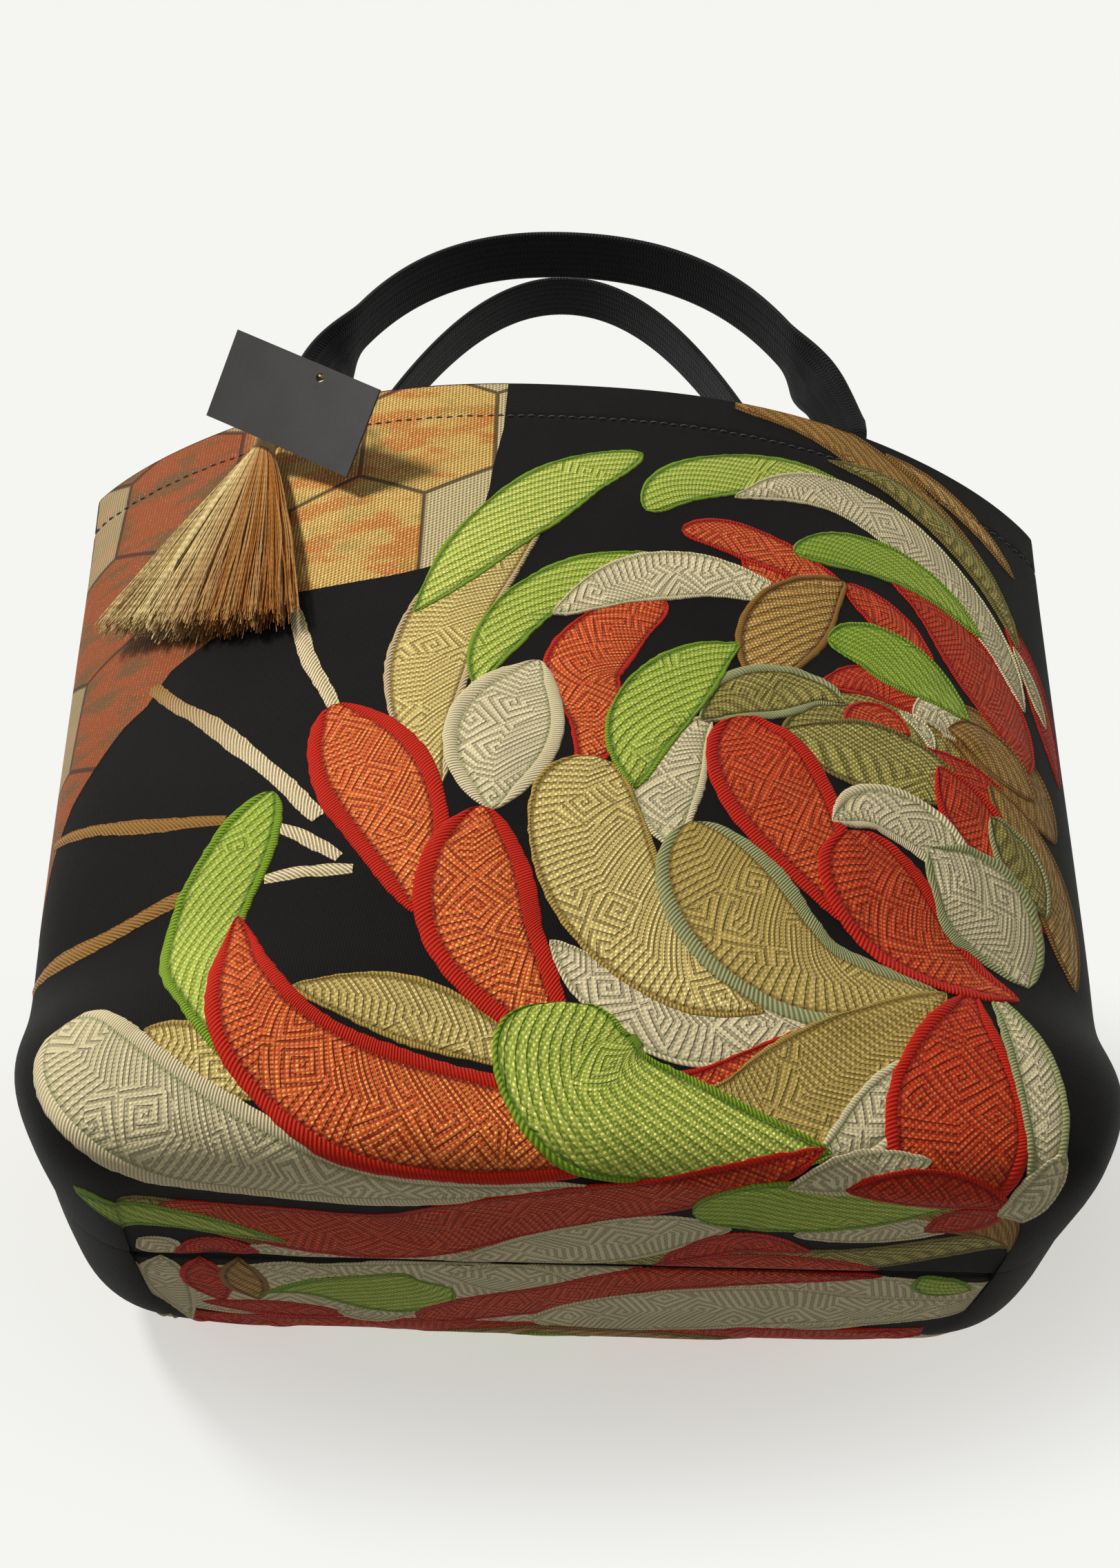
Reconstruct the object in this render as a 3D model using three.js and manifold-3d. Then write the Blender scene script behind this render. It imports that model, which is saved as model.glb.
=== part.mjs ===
// A boxed-corner tote bag in figured cloth, with two webbing handles, a tassel and a hang tag.
// Millimetres, +Z up. The base rests on z = 0 with its centre at the origin. The front faces -Y.
// The cloth shell is two halves, front and back, that meet at the side seams and at a seam
// along the middle of the base. Every layer inside it follows the same surface at a set depth.

import * as THREE from 'three';
import { mergeVertices } from 'three/addons/utils/BufferGeometryUtils.js';
import Module from 'manifold-3d';

const { lerp, clamp, degToRad, smoothstep } = THREE.MathUtils;

// Shell, outside sizes
const BASE_LENGTH = 250;
const BASE_DEPTH = 120;
const BASE_SQUARENESS = 8;
const FOLD_RADIUS = 12;
const BELLY_WIDTH = 300;
const BELLY_HEIGHT = 52;
const BELLY_BULGE = 4.5;
const BULGE_HEIGHT = 180;
const CORNER_FLARE = 0.84;
const CORNER_ROUNDING = 16;
const HEIGHT = 300;
const MOUTH_WIDTH = 340;
const MOUTH_DEPTH = 88;
const MOUTH_TAPER = 1.6;
const MOUTH_ARCH = 24;
const ARCH_START = 110;
const ARCH_ONSET = 1.2;
const ARCH_SHARPNESS = 2.6;
const SIDE_ROUNDNESS = 2.2;
const BELLY_CREASE = 2.1;
const MOUTH_CREASE = 1.25;
// The base's square corners have softened into the belly at this height.
const SQUARE_HEIGHT = 78;
const SQUARE_FADE = 1.5;

// Cloth layers and the gaps that sewn layers keep
const CLOTH = 2;
const LINING = 1;
const FACING = 1.2;
const HEM = 20;
const SEAM_SET_BACK = 1;
const BOARD = 2;
const LAY = 0.3;

// Webbing handles
const WEBBING_WIDTH = 20;
const WEBBING = 2;
const HANDLE_SET_IN = 75;
const HANDLE_LEAN = 4.5;
// The front handle stands in a low wide arch and the rear one in a higher, narrower arch.
const FRONT_ARCH = { rise: 102, leg: 46, taper: 12, crown: 64 };
const REAR_ARCH = { rise: 130, leg: 56, taper: 22, crown: 44 };
const TWIST_LENGTH = 50;
const LEVEL_LENGTH = 15;
const SEWN_LENGTH = 28;
const SEWN_STAND = 0.45;
const ROOT_RISE = 9;
const ROOT_PLAY = 0.4;
const SEWN_SHARES = [0, 0.25, 0.5, 0.75, 1];
const FREE_SHARES = [0.12, 0.24, 0.36, 0.8];
const UNTWIST_SHARE = 0.36;
// A strap's rounded end, in shares of its half thickness
const TIP_SHARES = [0, 0.15, 0.5, 1];
const TIP_FLAT = 0.15;

// Magnetic snap
const SNAP_RADIUS = 9;
const SNAP_THICKNESS = 2.4;
const SNAP_RIM = 1.6;
const SNAP_WELL = 1;
const STUD_RADIUS = 3;
const STUD_PLAY = 0.4;
const STUD_REACH = 1;
const SNAP_DROP = 14;

// Tassel, its head a little outside the handle's root
const TASSEL_ASIDE = 8;
const TASSEL_DROP = 27;
const TASSEL_LEAN = 8;
const TASSEL_STAND = 1.3;
const COLLAR_RADIUS = 4;
const COLLAR_LENGTH = 11;
const COLLAR_GROOVE = 0.5;
const COLLAR_FOOT = 1.5;
const COLLAR_WAIST = 1;
const COLLAR_SHOULDER = 2.5;
const SKIRT_LENGTH = 84;
const SKIRT_WIDTH = 72;
const SKIRT_THICKNESS = 10;
const SKIRT_FAN = 0.85;
const SKIRT_SHARES = [0, 0.12, 0.3, 0.5, 0.75, 1];
const SKIRT_FLUTES = 22;
const FLUTE_DEPTH = 0.07;
const FLUTE_POINTS = 4;
const TASSEL_CORD = 1.4;
const LOOP_PLAY = 0.5;
const LOOP_ASIDE = 3;
const LOOP_LEVEL = 0.36;
// The two strands of the loop over the mouth's edge: to the right, outward and up from the edge
const LOOP_RISING = [[0.5, 3, -3], [1.8, 1.8, 2]];
const LOOP_FALLING = [[-0.8, 1.8, 2], [-1.6, 3, -3]];
const STRAND_SPLIT = 1;
const STRAND_LIFT = 2;

// Rings of cord round the handle's root
const RING_FLAT = 8;
const RING_CORNER = 0.4;
const RING_ROUNDING = 0.84;
const RING_CLOSE = 0.1;
const LOOP_RING = { reach: 3.2, end: 1.5 };
const THREAD_RING = { reach: 3.8, end: 0.9 };

// Hang tag, its middle a little inside the handle's root, in front of and below the mouth's edge
const TAG_WIDTH = 56;
const TAG_HEIGHT = 30;
const TAG_CARD = 0.8;
const TAG_BOW = 140;
const TAG_ASIDE = -1.5;
const TAG_STAND = 14;
const TAG_DROP = 27.6;
const TAG_ROLL = -29;
const TAG_TILT = 45;
const EYELET_RADIUS = 1.5;
const EYELET_SHIFT = 5;
const EYELET_EDGE = 4;
const TAG_THREAD = 0.8;
const THREAD_LEVEL = 0.64;
// The thread through the eyelet: along the card, behind its face and up it, from the eyelet
const THREAD_RISING = [[0, -1.2, 0.6], [0, 1.4, 0.6], [0.4, 8, 1]];
const THREAD_FALLING = [[-1.4, 8, 1], [-1, 1.6, 0.6]];

// Fineness of the faceted surfaces
const ROUND_SIDES = 24;
const TAG_SIDES = 10;
const EDGE_ROUNDS = 8;
const SLOPE_STEP = 0.5;
const COLUMNS = 30;
const FOLD_ROWS = 4;
const WALL_ROWS = 10;
const BAND_ROWS = 2;
const ROW_CROWDING = 1.25;
const STRAP_STEPS = 22;
const CORD_SIDES = 8;
const LOOP_STEPS = 54;

const wasm = await Module();
wasm.setup();

// Shell surface

function softMin(p, q, width) {
  return (p + q - Math.hypot(p - q, width)) / 2;
}

// The shell's plan at a height: half sizes and the two exponents of its outline.
function planAt(height) {
  const up = clamp(height / HEIGHT, 0, 1);
  const climb = (level) => (level - BELLY_HEIGHT) / (HEIGHT - BELLY_HEIGHT);
  const side = (level) => lerp(BELLY_WIDTH, MOUTH_WIDTH, climb(level)) / 2;
  const corner = (level) => BASE_LENGTH / 2 + CORNER_FLARE * level;
  const reach = (level) => softMin(corner(level), side(level), CORNER_ROUNDING);
  const bulge = BELLY_BULGE * Math.sin(Math.PI * Math.min(height / BULGE_HEIGHT, 1));
  const square = (1 - smoothstep(height, 0, SQUARE_HEIGHT)) ** SQUARE_FADE;
  const crease = lerp(BELLY_CREASE, MOUTH_CREASE, smoothstep(height, SQUARE_HEIGHT, HEIGHT));
  return {
    halfWidth: reach(height) + (BASE_LENGTH / 2 - reach(0)) * (1 - up),
    halfDepth: BASE_DEPTH / 2 + bulge + (MOUTH_DEPTH - BASE_DEPTH) / 2 * up ** MOUTH_TAPER,
    roundness: lerp(SIDE_ROUNDNESS, BASE_SQUARENESS, square),
    crease: lerp(crease, BASE_SQUARENESS, square),
  };
}

// How far a layer at a depth under the cloth's face lies in from the plan at a height.
function insetAt(height, depth) {
  if (height >= FOLD_RADIUS) return depth;
  const reach = FOLD_RADIUS - depth;
  const rise = Math.min(FOLD_RADIUS - height, reach);
  return FOLD_RADIUS - Math.sqrt(reach * reach - rise * rise);
}

// How far the rows of the wall droop towards the sides, most at the arched mouth.
function archDrop(height, across) {
  const rise = clamp((height - ARCH_START) / (HEIGHT - ARCH_START), 0, 1);
  return MOUTH_ARCH * rise ** ARCH_ONSET * Math.abs(across) ** ARCH_SHARPNESS;
}

// A point of the shell: side is -1 in front and 1 behind, across runs from -1 to 1.
function shellPoint(side, height, across, depth) {
  const plan = planAt(height);
  const inset = insetAt(height, depth);
  const bow = Math.max(0, 1 - Math.abs(across) ** plan.roundness) ** (1 / plan.crease);
  return new THREE.Vector3(
    (plan.halfWidth - inset) * across,
    side * (LAY / 2 + (plan.halfDepth - inset) * bow),
    height - archDrop(height, across),
  );
}

// The layer's distance from the middle plane at a place, and how it changes along x and z.
function wallAt(x, z, depth) {
  const reach = (px, pz) => {
    let height = pz;
    let across = 0;
    for (let i = 0; i < EDGE_ROUNDS; i += 1) {
      across = px / (planAt(height).halfWidth - depth);
      height = pz + archDrop(height, across);
    }
    return -shellPoint(-1, height, across, depth).y;
  };
  return {
    y: reach(x, z),
    alongX: (reach(x + SLOPE_STEP, z) - reach(x - SLOPE_STEP, z)) / (2 * SLOPE_STEP),
    alongZ: (reach(x, z + SLOPE_STEP) - reach(x, z - SLOPE_STEP)) / (2 * SLOPE_STEP),
  };
}

// The height of the mouth's edge at a place along it.
function mouthEdge(x) {
  return HEIGHT - archDrop(HEIGHT, 2 * x / MOUTH_WIDTH);
}

// Closed bodies from points

function toGeometry(points, triangles) {
  const raw = new THREE.BufferGeometry();
  raw.setAttribute('position', new THREE.Float32BufferAttribute(points.flatMap((p) => p.toArray()), 3));
  raw.setIndex(triangles.flat());
  const merged = mergeVertices(raw, 1e-3);
  const index = merged.index.array;
  const kept = [];
  for (let i = 0; i < index.length; i += 3) {
    const [a, b, c] = [index[i], index[i + 1], index[i + 2]];
    if (a !== b && b !== c && c !== a) kept.push(a, b, c);
  }
  const at = (i) => new THREE.Vector3().fromBufferAttribute(merged.attributes.position, i);
  let volume = 0;
  for (let i = 0; i < kept.length; i += 3) {
    volume += at(kept[i]).dot(at(kept[i + 1]).cross(at(kept[i + 2])));
  }
  merged.setIndex(volume < 0 ? kept.reverse() : kept);
  merged.computeVertexNormals();
  return merged;
}

// A sheet between an outer and an inner face, each a grid of rows of points.
function closedSheet(outer, inner) {
  const rows = outer.length;
  const columns = outer[0].length;
  const points = [...outer.flat(), ...inner.flat()];
  const out = (r, c) => r * columns + c;
  const into = (r, c) => rows * columns + r * columns + c;
  const triangles = [];
  const quad = (a, b, c, d) => triangles.push([a, b, c], [a, c, d]);
  for (let r = 0; r < rows - 1; r += 1) {
    for (let c = 0; c < columns - 1; c += 1) {
      quad(out(r, c), out(r, c + 1), out(r + 1, c + 1), out(r + 1, c));
      quad(into(r, c), into(r + 1, c), into(r + 1, c + 1), into(r, c + 1));
    }
    quad(out(r, 0), out(r + 1, 0), into(r + 1, 0), into(r, 0));
    quad(out(r, columns - 1), into(r, columns - 1), into(r + 1, columns - 1), out(r + 1, columns - 1));
  }
  for (let c = 0; c < columns - 1; c += 1) {
    quad(out(0, c), into(0, c), into(0, c + 1), out(0, c + 1));
    quad(out(rows - 1, c), out(rows - 1, c + 1), into(rows - 1, c + 1), into(rows - 1, c));
  }
  return toGeometry(points, triangles);
}

// A body through rings of points, closed at both ends round the rings' middles.
// The quads of the two halves of a ring are split alike, so a twisted strap keeps its thickness.
function loft(rings) {
  const count = rings[0].length;
  const points = rings.flat();
  const triangles = [];
  for (let r = 0; r < rings.length - 1; r += 1) {
    for (let i = 0; i < count; i += 1) {
      const j = (i + 1) % count;
      const [a, b] = [r * count + i, r * count + j];
      if (i < count / 2) triangles.push([a, b, b + count], [a, b + count, a + count]);
      else triangles.push([a, b, a + count], [b, b + count, a + count]);
    }
  }
  for (const r of [0, rings.length - 1]) {
    const middle = points.length;
    const centre = rings[r].reduce((sum, p) => sum.add(p), new THREE.Vector3());
    points.push(centre.divideScalar(count));
    for (let i = 0; i < count; i += 1) {
      const j = (i + 1) % count;
      const cap = [middle, r * count + i, r * count + j];
      triangles.push(r ? cap : cap.reverse());
    }
  }
  return toGeometry(points, triangles);
}

function toSolid(geometry) {
  const bare = new THREE.BufferGeometry();
  bare.setAttribute('position', geometry.attributes.position.clone());
  if (geometry.index) bare.setIndex(geometry.index.clone());
  const merged = mergeVertices(bare, 1e-4);
  return new wasm.Manifold(new wasm.Mesh({
    numProp: 3,
    vertProperties: Float32Array.from(merged.attributes.position.array),
    triVerts: Uint32Array.from(merged.index.array),
  }));
}

function fromSolid(solid) {
  const mesh = solid.getMesh();
  const geometry = new THREE.BufferGeometry();
  geometry.setAttribute('position', new THREE.BufferAttribute(mesh.vertProperties, 3));
  geometry.setIndex(new THREE.BufferAttribute(mesh.triVerts, 1));
  geometry.computeVertexNormals();
  return geometry;
}

// A body turned from a profile of distances from its axis and heights along it.
function turned(profile) {
  return new THREE.LatheGeometry(profile.map(([x, y]) => new THREE.Vector2(x, y)), ROUND_SIDES);
}

// A round cord along a smooth route through points.
function cord(route, diameter, steps) {
  const section = new THREE.Shape().absarc(0, 0, diameter / 2, 0, 2 * Math.PI, false);
  return new THREE.ExtrudeGeometry(section, {
    steps,
    curveSegments: CORD_SIDES / 2,
    extrudePath: new THREE.CatmullRomCurve3(route, false, 'centripetal'),
  });
}

// Cloth layers

const acrossSteps = Array.from({ length: COLUMNS + 1 }, (_, i) => Math.sin(Math.PI * (i / COLUMNS - 0.5)));

function shellRow(side, height, depth) {
  return acrossSteps.map((across) => shellPoint(side, height, across, depth));
}

// Heights that every layer shares, closer together where the wall bends more.
const wallHeights = Array.from({ length: WALL_ROWS }, (_, i) => lerp(
  FOLD_RADIUS,
  HEIGHT - HEM,
  ((i + 1) / WALL_ROWS) ** ROW_CROWDING,
));
const bandHeights = Array.from({ length: BAND_ROWS + 1 }, (_, i) => HEIGHT - HEM + HEM * i / BAND_ROWS);

// One face of a half of the bag: half of the base, the rounded fold and the wall up to a height.
// The seam along the base lies a little behind the middle.
function halfFace(side, depth, floor, top) {
  const start = Math.acos((FOLD_RADIUS - floor) / (FOLD_RADIUS - depth));
  const rows = [];
  for (let i = 0; i <= FOLD_ROWS; i += 1) {
    const angle = lerp(start, Math.PI / 2, i / FOLD_ROWS);
    rows.push(shellRow(side, FOLD_RADIUS - (FOLD_RADIUS - depth) * Math.cos(angle), depth));
  }
  for (const height of [...wallHeights, ...bandHeights.slice(1)]) {
    if (height <= top) rows.push(shellRow(side, height, depth));
  }
  if (top < HEIGHT - HEM) rows.push(shellRow(side, top, depth));
  const seam = rows[0].map((p, i) => {
    const back = SEAM_SET_BACK * (1 - Math.abs(acrossSteps[i]) ** BASE_SQUARENESS);
    return new THREE.Vector3(p.x, side * LAY / 2 + back, p.z);
  });
  return [seam, ...rows];
}

function bandFace(side, depth) {
  return bandHeights.map((height) => shellRow(side, height, depth));
}

function panel(side) {
  return closedSheet(halfFace(side, 0, 0, HEIGHT), halfFace(side, CLOTH, CLOTH, HEIGHT));
}

const liningDepth = CLOTH + LAY;
const liningFloor = CLOTH + LAY + BOARD + LAY;

function lining(side) {
  const top = HEIGHT - HEM - LAY;
  const inner = liningDepth + LINING;
  return closedSheet(
    halfFace(side, liningDepth, liningFloor, top),
    halfFace(side, inner, liningFloor + LINING, top),
  );
}

function facing(side) {
  return closedSheet(bandFace(side, liningDepth), bandFace(side, liningDepth + FACING));
}

// The stiff board lies on the base, just clear of the fold all round.
function baseBoard() {
  const floor = CLOTH + LAY;
  const outline = [...shellRow(-1, floor, floor), ...shellRow(1, floor, floor).reverse()];
  const level = (z) => outline.map((p) => new THREE.Vector3(p.x, p.y, z));
  return loft([level(floor), level(floor + BOARD)]);
}

// Webbing handles

// A strap's rounded end: the strap's half thickness at a distance from its tip.
function tipThickness(distance) {
  const radius = WEBBING / 2;
  const short = clamp(radius - distance, 0, radius);
  return Math.max(Math.sqrt(radius * radius - short * short), TIP_FLAT * radius);
}

const tipSteps = TIP_SHARES.map((share) => share * WEBBING / 2);

function strapRing({ centre, across, through, half }) {
  return [[-1, -1], [0, -1], [1, -1], [1, 1], [0, 1], [-1, 1]].map(([u, v]) => centre.clone()
    .addScaledVector(across, u * WEBBING_WIDTH / 2)
    .addScaledVector(through, v * half));
}

// A strap's sewn end on the inside of the facing, up to its rounded tip above the mouth's edge.
const rootX = MOUTH_WIDTH / 2 - HANDLE_SET_IN;
const rootEdge = mouthEdge(rootX - WEBBING_WIDTH / 2);
const hingeZ = rootEdge + ROOT_RISE;
const tipGap = WEBBING / 2 + ROOT_PLAY;

function rootLayer(z) {
  const depth = liningDepth + FACING;
  const near = wallAt(rootX - WEBBING_WIDTH / 2, z, depth).y;
  const far = wallAt(rootX + WEBBING_WIDTH / 2, z, depth).y;
  return { y: (near + far) / 2 - SEWN_STAND - WEBBING / 2, slope: (far - near) / WEBBING_WIDTH };
}

const hingeY = rootLayer(rootEdge).y;

function strapEnd(side, hand) {
  const station = (z, turn, half) => {
    const layer = rootLayer(Math.min(z, rootEdge));
    const across = new THREE.Vector3(1, side * hand * layer.slope * (1 - turn), 0).normalize();
    const through = new THREE.Vector3(-across.y, across.x, 0);
    return { centre: new THREE.Vector3(hand * rootX, side * layer.y, z), across, through, half };
  };
  const top = hingeZ - tipGap;
  const bottom = rootEdge - SEWN_LENGTH;
  const sewn = SEWN_SHARES.map((t) => station(lerp(bottom, rootEdge, t), 0, WEBBING / 2));
  const free = FREE_SHARES.map((t) => {
    const turn = Math.min(t / UNTWIST_SHARE, 1);
    return station(lerp(rootEdge, top - WEBBING, t), turn, WEBBING / 2);
  });
  const tip = tipSteps.map((d) => station(top - d, 1, tipThickness(d))).reverse();
  return loft([...sewn, ...free, ...tip].map(strapRing));
}

// Half of the handle's arch in its own plane: from the root up a slanted leg to the crown.
function archCurve(hand, { rise, leg, taper, crown }) {
  return new THREE.CubicBezierCurve3(
    new THREE.Vector3(hand * rootX, 0, 0),
    new THREE.Vector3(hand * (rootX - taper), 0, leg),
    new THREE.Vector3(hand * crown, 0, rise),
    new THREE.Vector3(0, 0, rise),
  );
}

// The webbing lies flat across the bag at its roots and turns edge-on to the bag in the legs.
function handle(arch) {
  const leg = (hand) => {
    const curve = archCurve(hand, arch);
    const length = curve.getLength();
    const ridge = new THREE.Vector3(0, 1, 0);
    const level = new THREE.Vector3(-hand, 0, 0);
    const stations = [];
    for (const d of tipSteps.slice(0, -1)) {
      const centre = new THREE.Vector3(hand * rootX, 0, d - WEBBING / 2);
      stations.push({ centre, across: level, through: ridge, half: tipThickness(d) });
    }
    for (let i = 0; i <= STRAP_STEPS; i += 1) {
      const run = i / STRAP_STEPS;
      const tangent = curve.getTangentAt(run);
      const square = new THREE.Vector3().crossVectors(ridge, tangent).multiplyScalar(-hand);
      const blend = smoothstep(run * length, 0, LEVEL_LENGTH);
      const flat = level.clone().lerp(square, blend).normalize();
      const turn = smoothstep(run * length, 0, TWIST_LENGTH) * Math.PI / 2;
      const across = flat.clone().multiplyScalar(Math.cos(turn)).addScaledVector(ridge, Math.sin(turn));
      const through = flat.multiplyScalar(-Math.sin(turn)).addScaledVector(ridge, Math.cos(turn));
      stations.push({ centre: curve.getPointAt(run), across, through, half: WEBBING / 2 });
    }
    return stations;
  };
  const left = leg(-1);
  const right = leg(1).reverse().slice(1);
  return loft([...left, ...right].map(strapRing));
}

// Magnetic snap: a dished half and a studded half, each seated on the facing at the mouth's middle.
function snapHalf(stud) {
  const well = STUD_RADIUS + STUD_PLAY;
  const profile = stud
    ? [[0, 0], [SNAP_RADIUS, 0], [SNAP_RADIUS, SNAP_RIM], [STUD_RADIUS, SNAP_THICKNESS - STUD_REACH / 2],
      [STUD_RADIUS, SNAP_THICKNESS + STUD_REACH], [0, SNAP_THICKNESS + STUD_REACH]]
    : [[0, 0], [SNAP_RADIUS, 0], [SNAP_RADIUS, SNAP_RIM], [SNAP_RADIUS - SNAP_RIM, SNAP_THICKNESS],
      [well, SNAP_THICKNESS], [well, SNAP_THICKNESS - SNAP_WELL], [0, SNAP_THICKNESS - SNAP_WELL]];
  return turned(profile);
}

// Tassel, in a frame whose Z runs up the tassel and whose Y points at the bag.
const tasselX = -rootX - TASSEL_ASIDE;
const tasselZ = mouthEdge(tasselX) - TASSEL_DROP;

function tasselFrame() {
  const wall = wallAt(tasselX, tasselZ, 0);
  const out = new THREE.Vector3(-wall.alongX, -1, -wall.alongZ).normalize();
  const up = new THREE.Vector3(0, 0, 1).addScaledVector(out, -out.z).normalize();
  up.applyAxisAngle(out, degToRad(-TASSEL_LEAN));
  const inward = out.clone().negate();
  const right = new THREE.Vector3().crossVectors(inward, up);
  const stand = Math.max(COLLAR_RADIUS, SKIRT_THICKNESS / 2) + TASSEL_STAND;
  const origin = new THREE.Vector3(tasselX, -wall.y, tasselZ).addScaledVector(out, stand);
  return new THREE.Matrix4().makeBasis(right, inward, up).setPosition(origin);
}

function tasselCollar() {
  const half = COLLAR_LENGTH / 2;
  const groove = COLLAR_RADIUS - COLLAR_GROOVE;
  const profile = [[0, -half], [groove, -half], [COLLAR_RADIUS, -half + COLLAR_FOOT],
    [groove, -COLLAR_WAIST], [groove, COLLAR_WAIST], [COLLAR_RADIUS, half - COLLAR_SHOULDER],
    [TASSEL_CORD, half], [0, half]];
  return turned(profile).rotateX(Math.PI / 2);
}

function tasselSkirt() {
  const top = -COLLAR_LENGTH / 2 - LAY;
  const points = FLUTE_POINTS * SKIRT_FLUTES;
  const rings = SKIRT_SHARES.map((run) => {
    const wide = lerp(COLLAR_RADIUS * 2, SKIRT_WIDTH, run ** SKIRT_FAN) / 2;
    const deep = lerp(COLLAR_RADIUS * 2, SKIRT_THICKNESS, run) / 2;
    return Array.from({ length: points }, (_, i) => {
      const turn = 2 * Math.PI * i / points;
      const flute = 1 - FLUTE_DEPTH * run * (1 - Math.cos(SKIRT_FLUTES * turn)) / 2;
      return new THREE.Vector3(wide * flute * Math.cos(turn), deep * flute * Math.sin(turn),
        top - SKIRT_LENGTH * run);
    });
  });
  return loft(rings);
}

// A ring round the left root of the front handle, from its front right corner round the back.
function ringRoute(level, { reach, end }) {
  const tip = WEBBING_WIDTH / 2 + end;
  const corner = WEBBING_WIDTH / 2 + RING_CORNER;
  const round = RING_ROUNDING * reach;
  return [[RING_FLAT, -reach], [corner, -round], [tip, 0], [corner, round], [RING_FLAT, reach],
    [0, reach + RING_CLOSE], [-RING_FLAT, reach], [-corner, round], [-tip, 0], [-corner, -round],
    [-RING_FLAT, -reach]]
    .map(([x, y]) => new THREE.Vector3(x - rootX, y - hingeY, rootEdge + ROOT_RISE * level));
}

// The loop that holds the tassel: up over the mouth's edge, round the handle's root and back.
function tasselLoop() {
  const frame = tasselFrame();
  const end = COLLAR_LENGTH / 2 + LOOP_PLAY;
  const foot = (x, z) => new THREE.Vector3(x, 0, z).applyMatrix4(frame);
  const edgeX = -rootX - LOOP_ASIDE;
  const edgeZ = mouthEdge(edgeX);
  const edgeY = -wallAt(edgeX, edgeZ, 0).y;
  const over = ([right, out, up]) => new THREE.Vector3(edgeX + right, edgeY - out, edgeZ + up);
  return cord([
    foot(STRAND_SPLIT, end),
    foot(STRAND_SPLIT, end + STRAND_LIFT),
    ...LOOP_RISING.map(over),
    ...ringRoute(LOOP_LEVEL, LOOP_RING),
    ...LOOP_FALLING.map(over),
    foot(-STRAND_SPLIT, end + STRAND_LIFT),
    foot(-STRAND_SPLIT, end),
  ], TASSEL_CORD, LOOP_STEPS);
}

// Hang tag, in a frame whose X runs along the card, Z up its face and Y into the bag.
function tagFrame() {
  const turn = new THREE.Quaternion().setFromAxisAngle(new THREE.Vector3(0, 1, 0), degToRad(-TAG_ROLL));
  const tilt = new THREE.Quaternion().setFromAxisAngle(new THREE.Vector3(1, 0, 0), degToRad(TAG_TILT));
  const x = -rootX - TAG_ASIDE;
  const place = new THREE.Vector3(x, -MOUTH_DEPTH / 2 - TAG_STAND, mouthEdge(x) - TAG_DROP);
  return new THREE.Matrix4().compose(place, turn.multiply(tilt), new THREE.Vector3(1, 1, 1));
}

const eyelet = new THREE.Vector3(EYELET_SHIFT, 0, TAG_HEIGHT / 2 - EYELET_EDGE);

// The card is bowed a little along its width.
function hangTag() {
  const half = Math.asin(TAG_WIDTH / 2 / TAG_BOW);
  const bow = new THREE.Shape();
  bow.absarc(0, 0, TAG_BOW, Math.PI / 2 - half, Math.PI / 2 + half, false);
  bow.absarc(0, 0, TAG_BOW - TAG_CARD, Math.PI / 2 + half, Math.PI / 2 - half, true);
  const card = new THREE.ExtrudeGeometry(bow, {
    depth: TAG_HEIGHT,
    bevelEnabled: false,
    curveSegments: TAG_SIDES,
  });
  card.translate(0, TAG_CARD / 2 - TAG_BOW, -TAG_HEIGHT / 2);
  const hole = new THREE.CylinderGeometry(EYELET_RADIUS, EYELET_RADIUS, TAG_HEIGHT, ROUND_SIDES);
  hole.translate(eyelet.x, eyelet.y, eyelet.z);
  return fromSolid(toSolid(card).subtract(toSolid(hole)));
}

// The thread that ties the card above the tassel's loop.
function tagThread() {
  const frame = tagFrame();
  const near = ([x, y, z]) => new THREE.Vector3(x, y, z).add(eyelet).applyMatrix4(frame);
  return cord([
    ...THREAD_RISING.map(near),
    ...ringRoute(THREAD_LEVEL, THREAD_RING),
    ...THREAD_FALLING.map(near),
  ], TAG_THREAD, LOOP_STEPS);
}

// Assembly

const looks = {
  brocade: { color: 0x8c5a35, roughness: 0.75, metalness: 0 },
  lining: { color: 0x201d1b, roughness: 0.85, metalness: 0 },
  board: { color: 0x8a8378, roughness: 0.9, metalness: 0 },
  webbing: { color: 0x0e0e0e, roughness: 0.7, metalness: 0 },
  snap: { color: 0xb59b62, roughness: 0.35, metalness: 1 },
  tassel: { color: 0xc1a068, roughness: 0.6, metalness: 0 },
  tag: { color: 0x414040, roughness: 0.7, metalness: 0 },
};

function node(name, geometry, look) {
  const mesh = new THREE.Mesh(geometry, new THREE.MeshStandardMaterial(looks[look]));
  mesh.name = name;
  return mesh;
}

function placed(matrix, ...children) {
  const group = new THREE.Group();
  group.applyMatrix4(matrix);
  group.add(...children);
  return group;
}

function bagHalf(side, name) {
  const seat = HEIGHT - SNAP_DROP;
  const stand = wallAt(0, seat, liningDepth + FACING);
  const snap = node(`magnetic_snap_${name}`, snapHalf(side < 0), 'snap');
  snap.position.set(0, side * (stand.y - LAY), seat);
  snap.rotation.x = side < 0 ? Math.atan(stand.alongZ) : Math.PI - Math.atan(stand.alongZ);
  const strap = new THREE.Group();
  strap.position.set(0, side * hingeY, hingeZ);
  strap.rotation.x = side * degToRad(HANDLE_LEAN);
  strap.add(node(`${name}_handle`, handle(side < 0 ? FRONT_ARCH : REAR_ARCH), 'webbing'));
  const half = new THREE.Group();
  half.add(
    node(`${name}_panel`, panel(side), 'brocade'),
    node(`${name}_lining`, lining(side), 'lining'),
    node(`${name}_facing`, facing(side), 'lining'),
    node(`${name}_handle_left_end`, strapEnd(side, -1), 'webbing'),
    node(`${name}_handle_right_end`, strapEnd(side, 1), 'webbing'),
    snap,
    strap,
  );
  return half;
}

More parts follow.
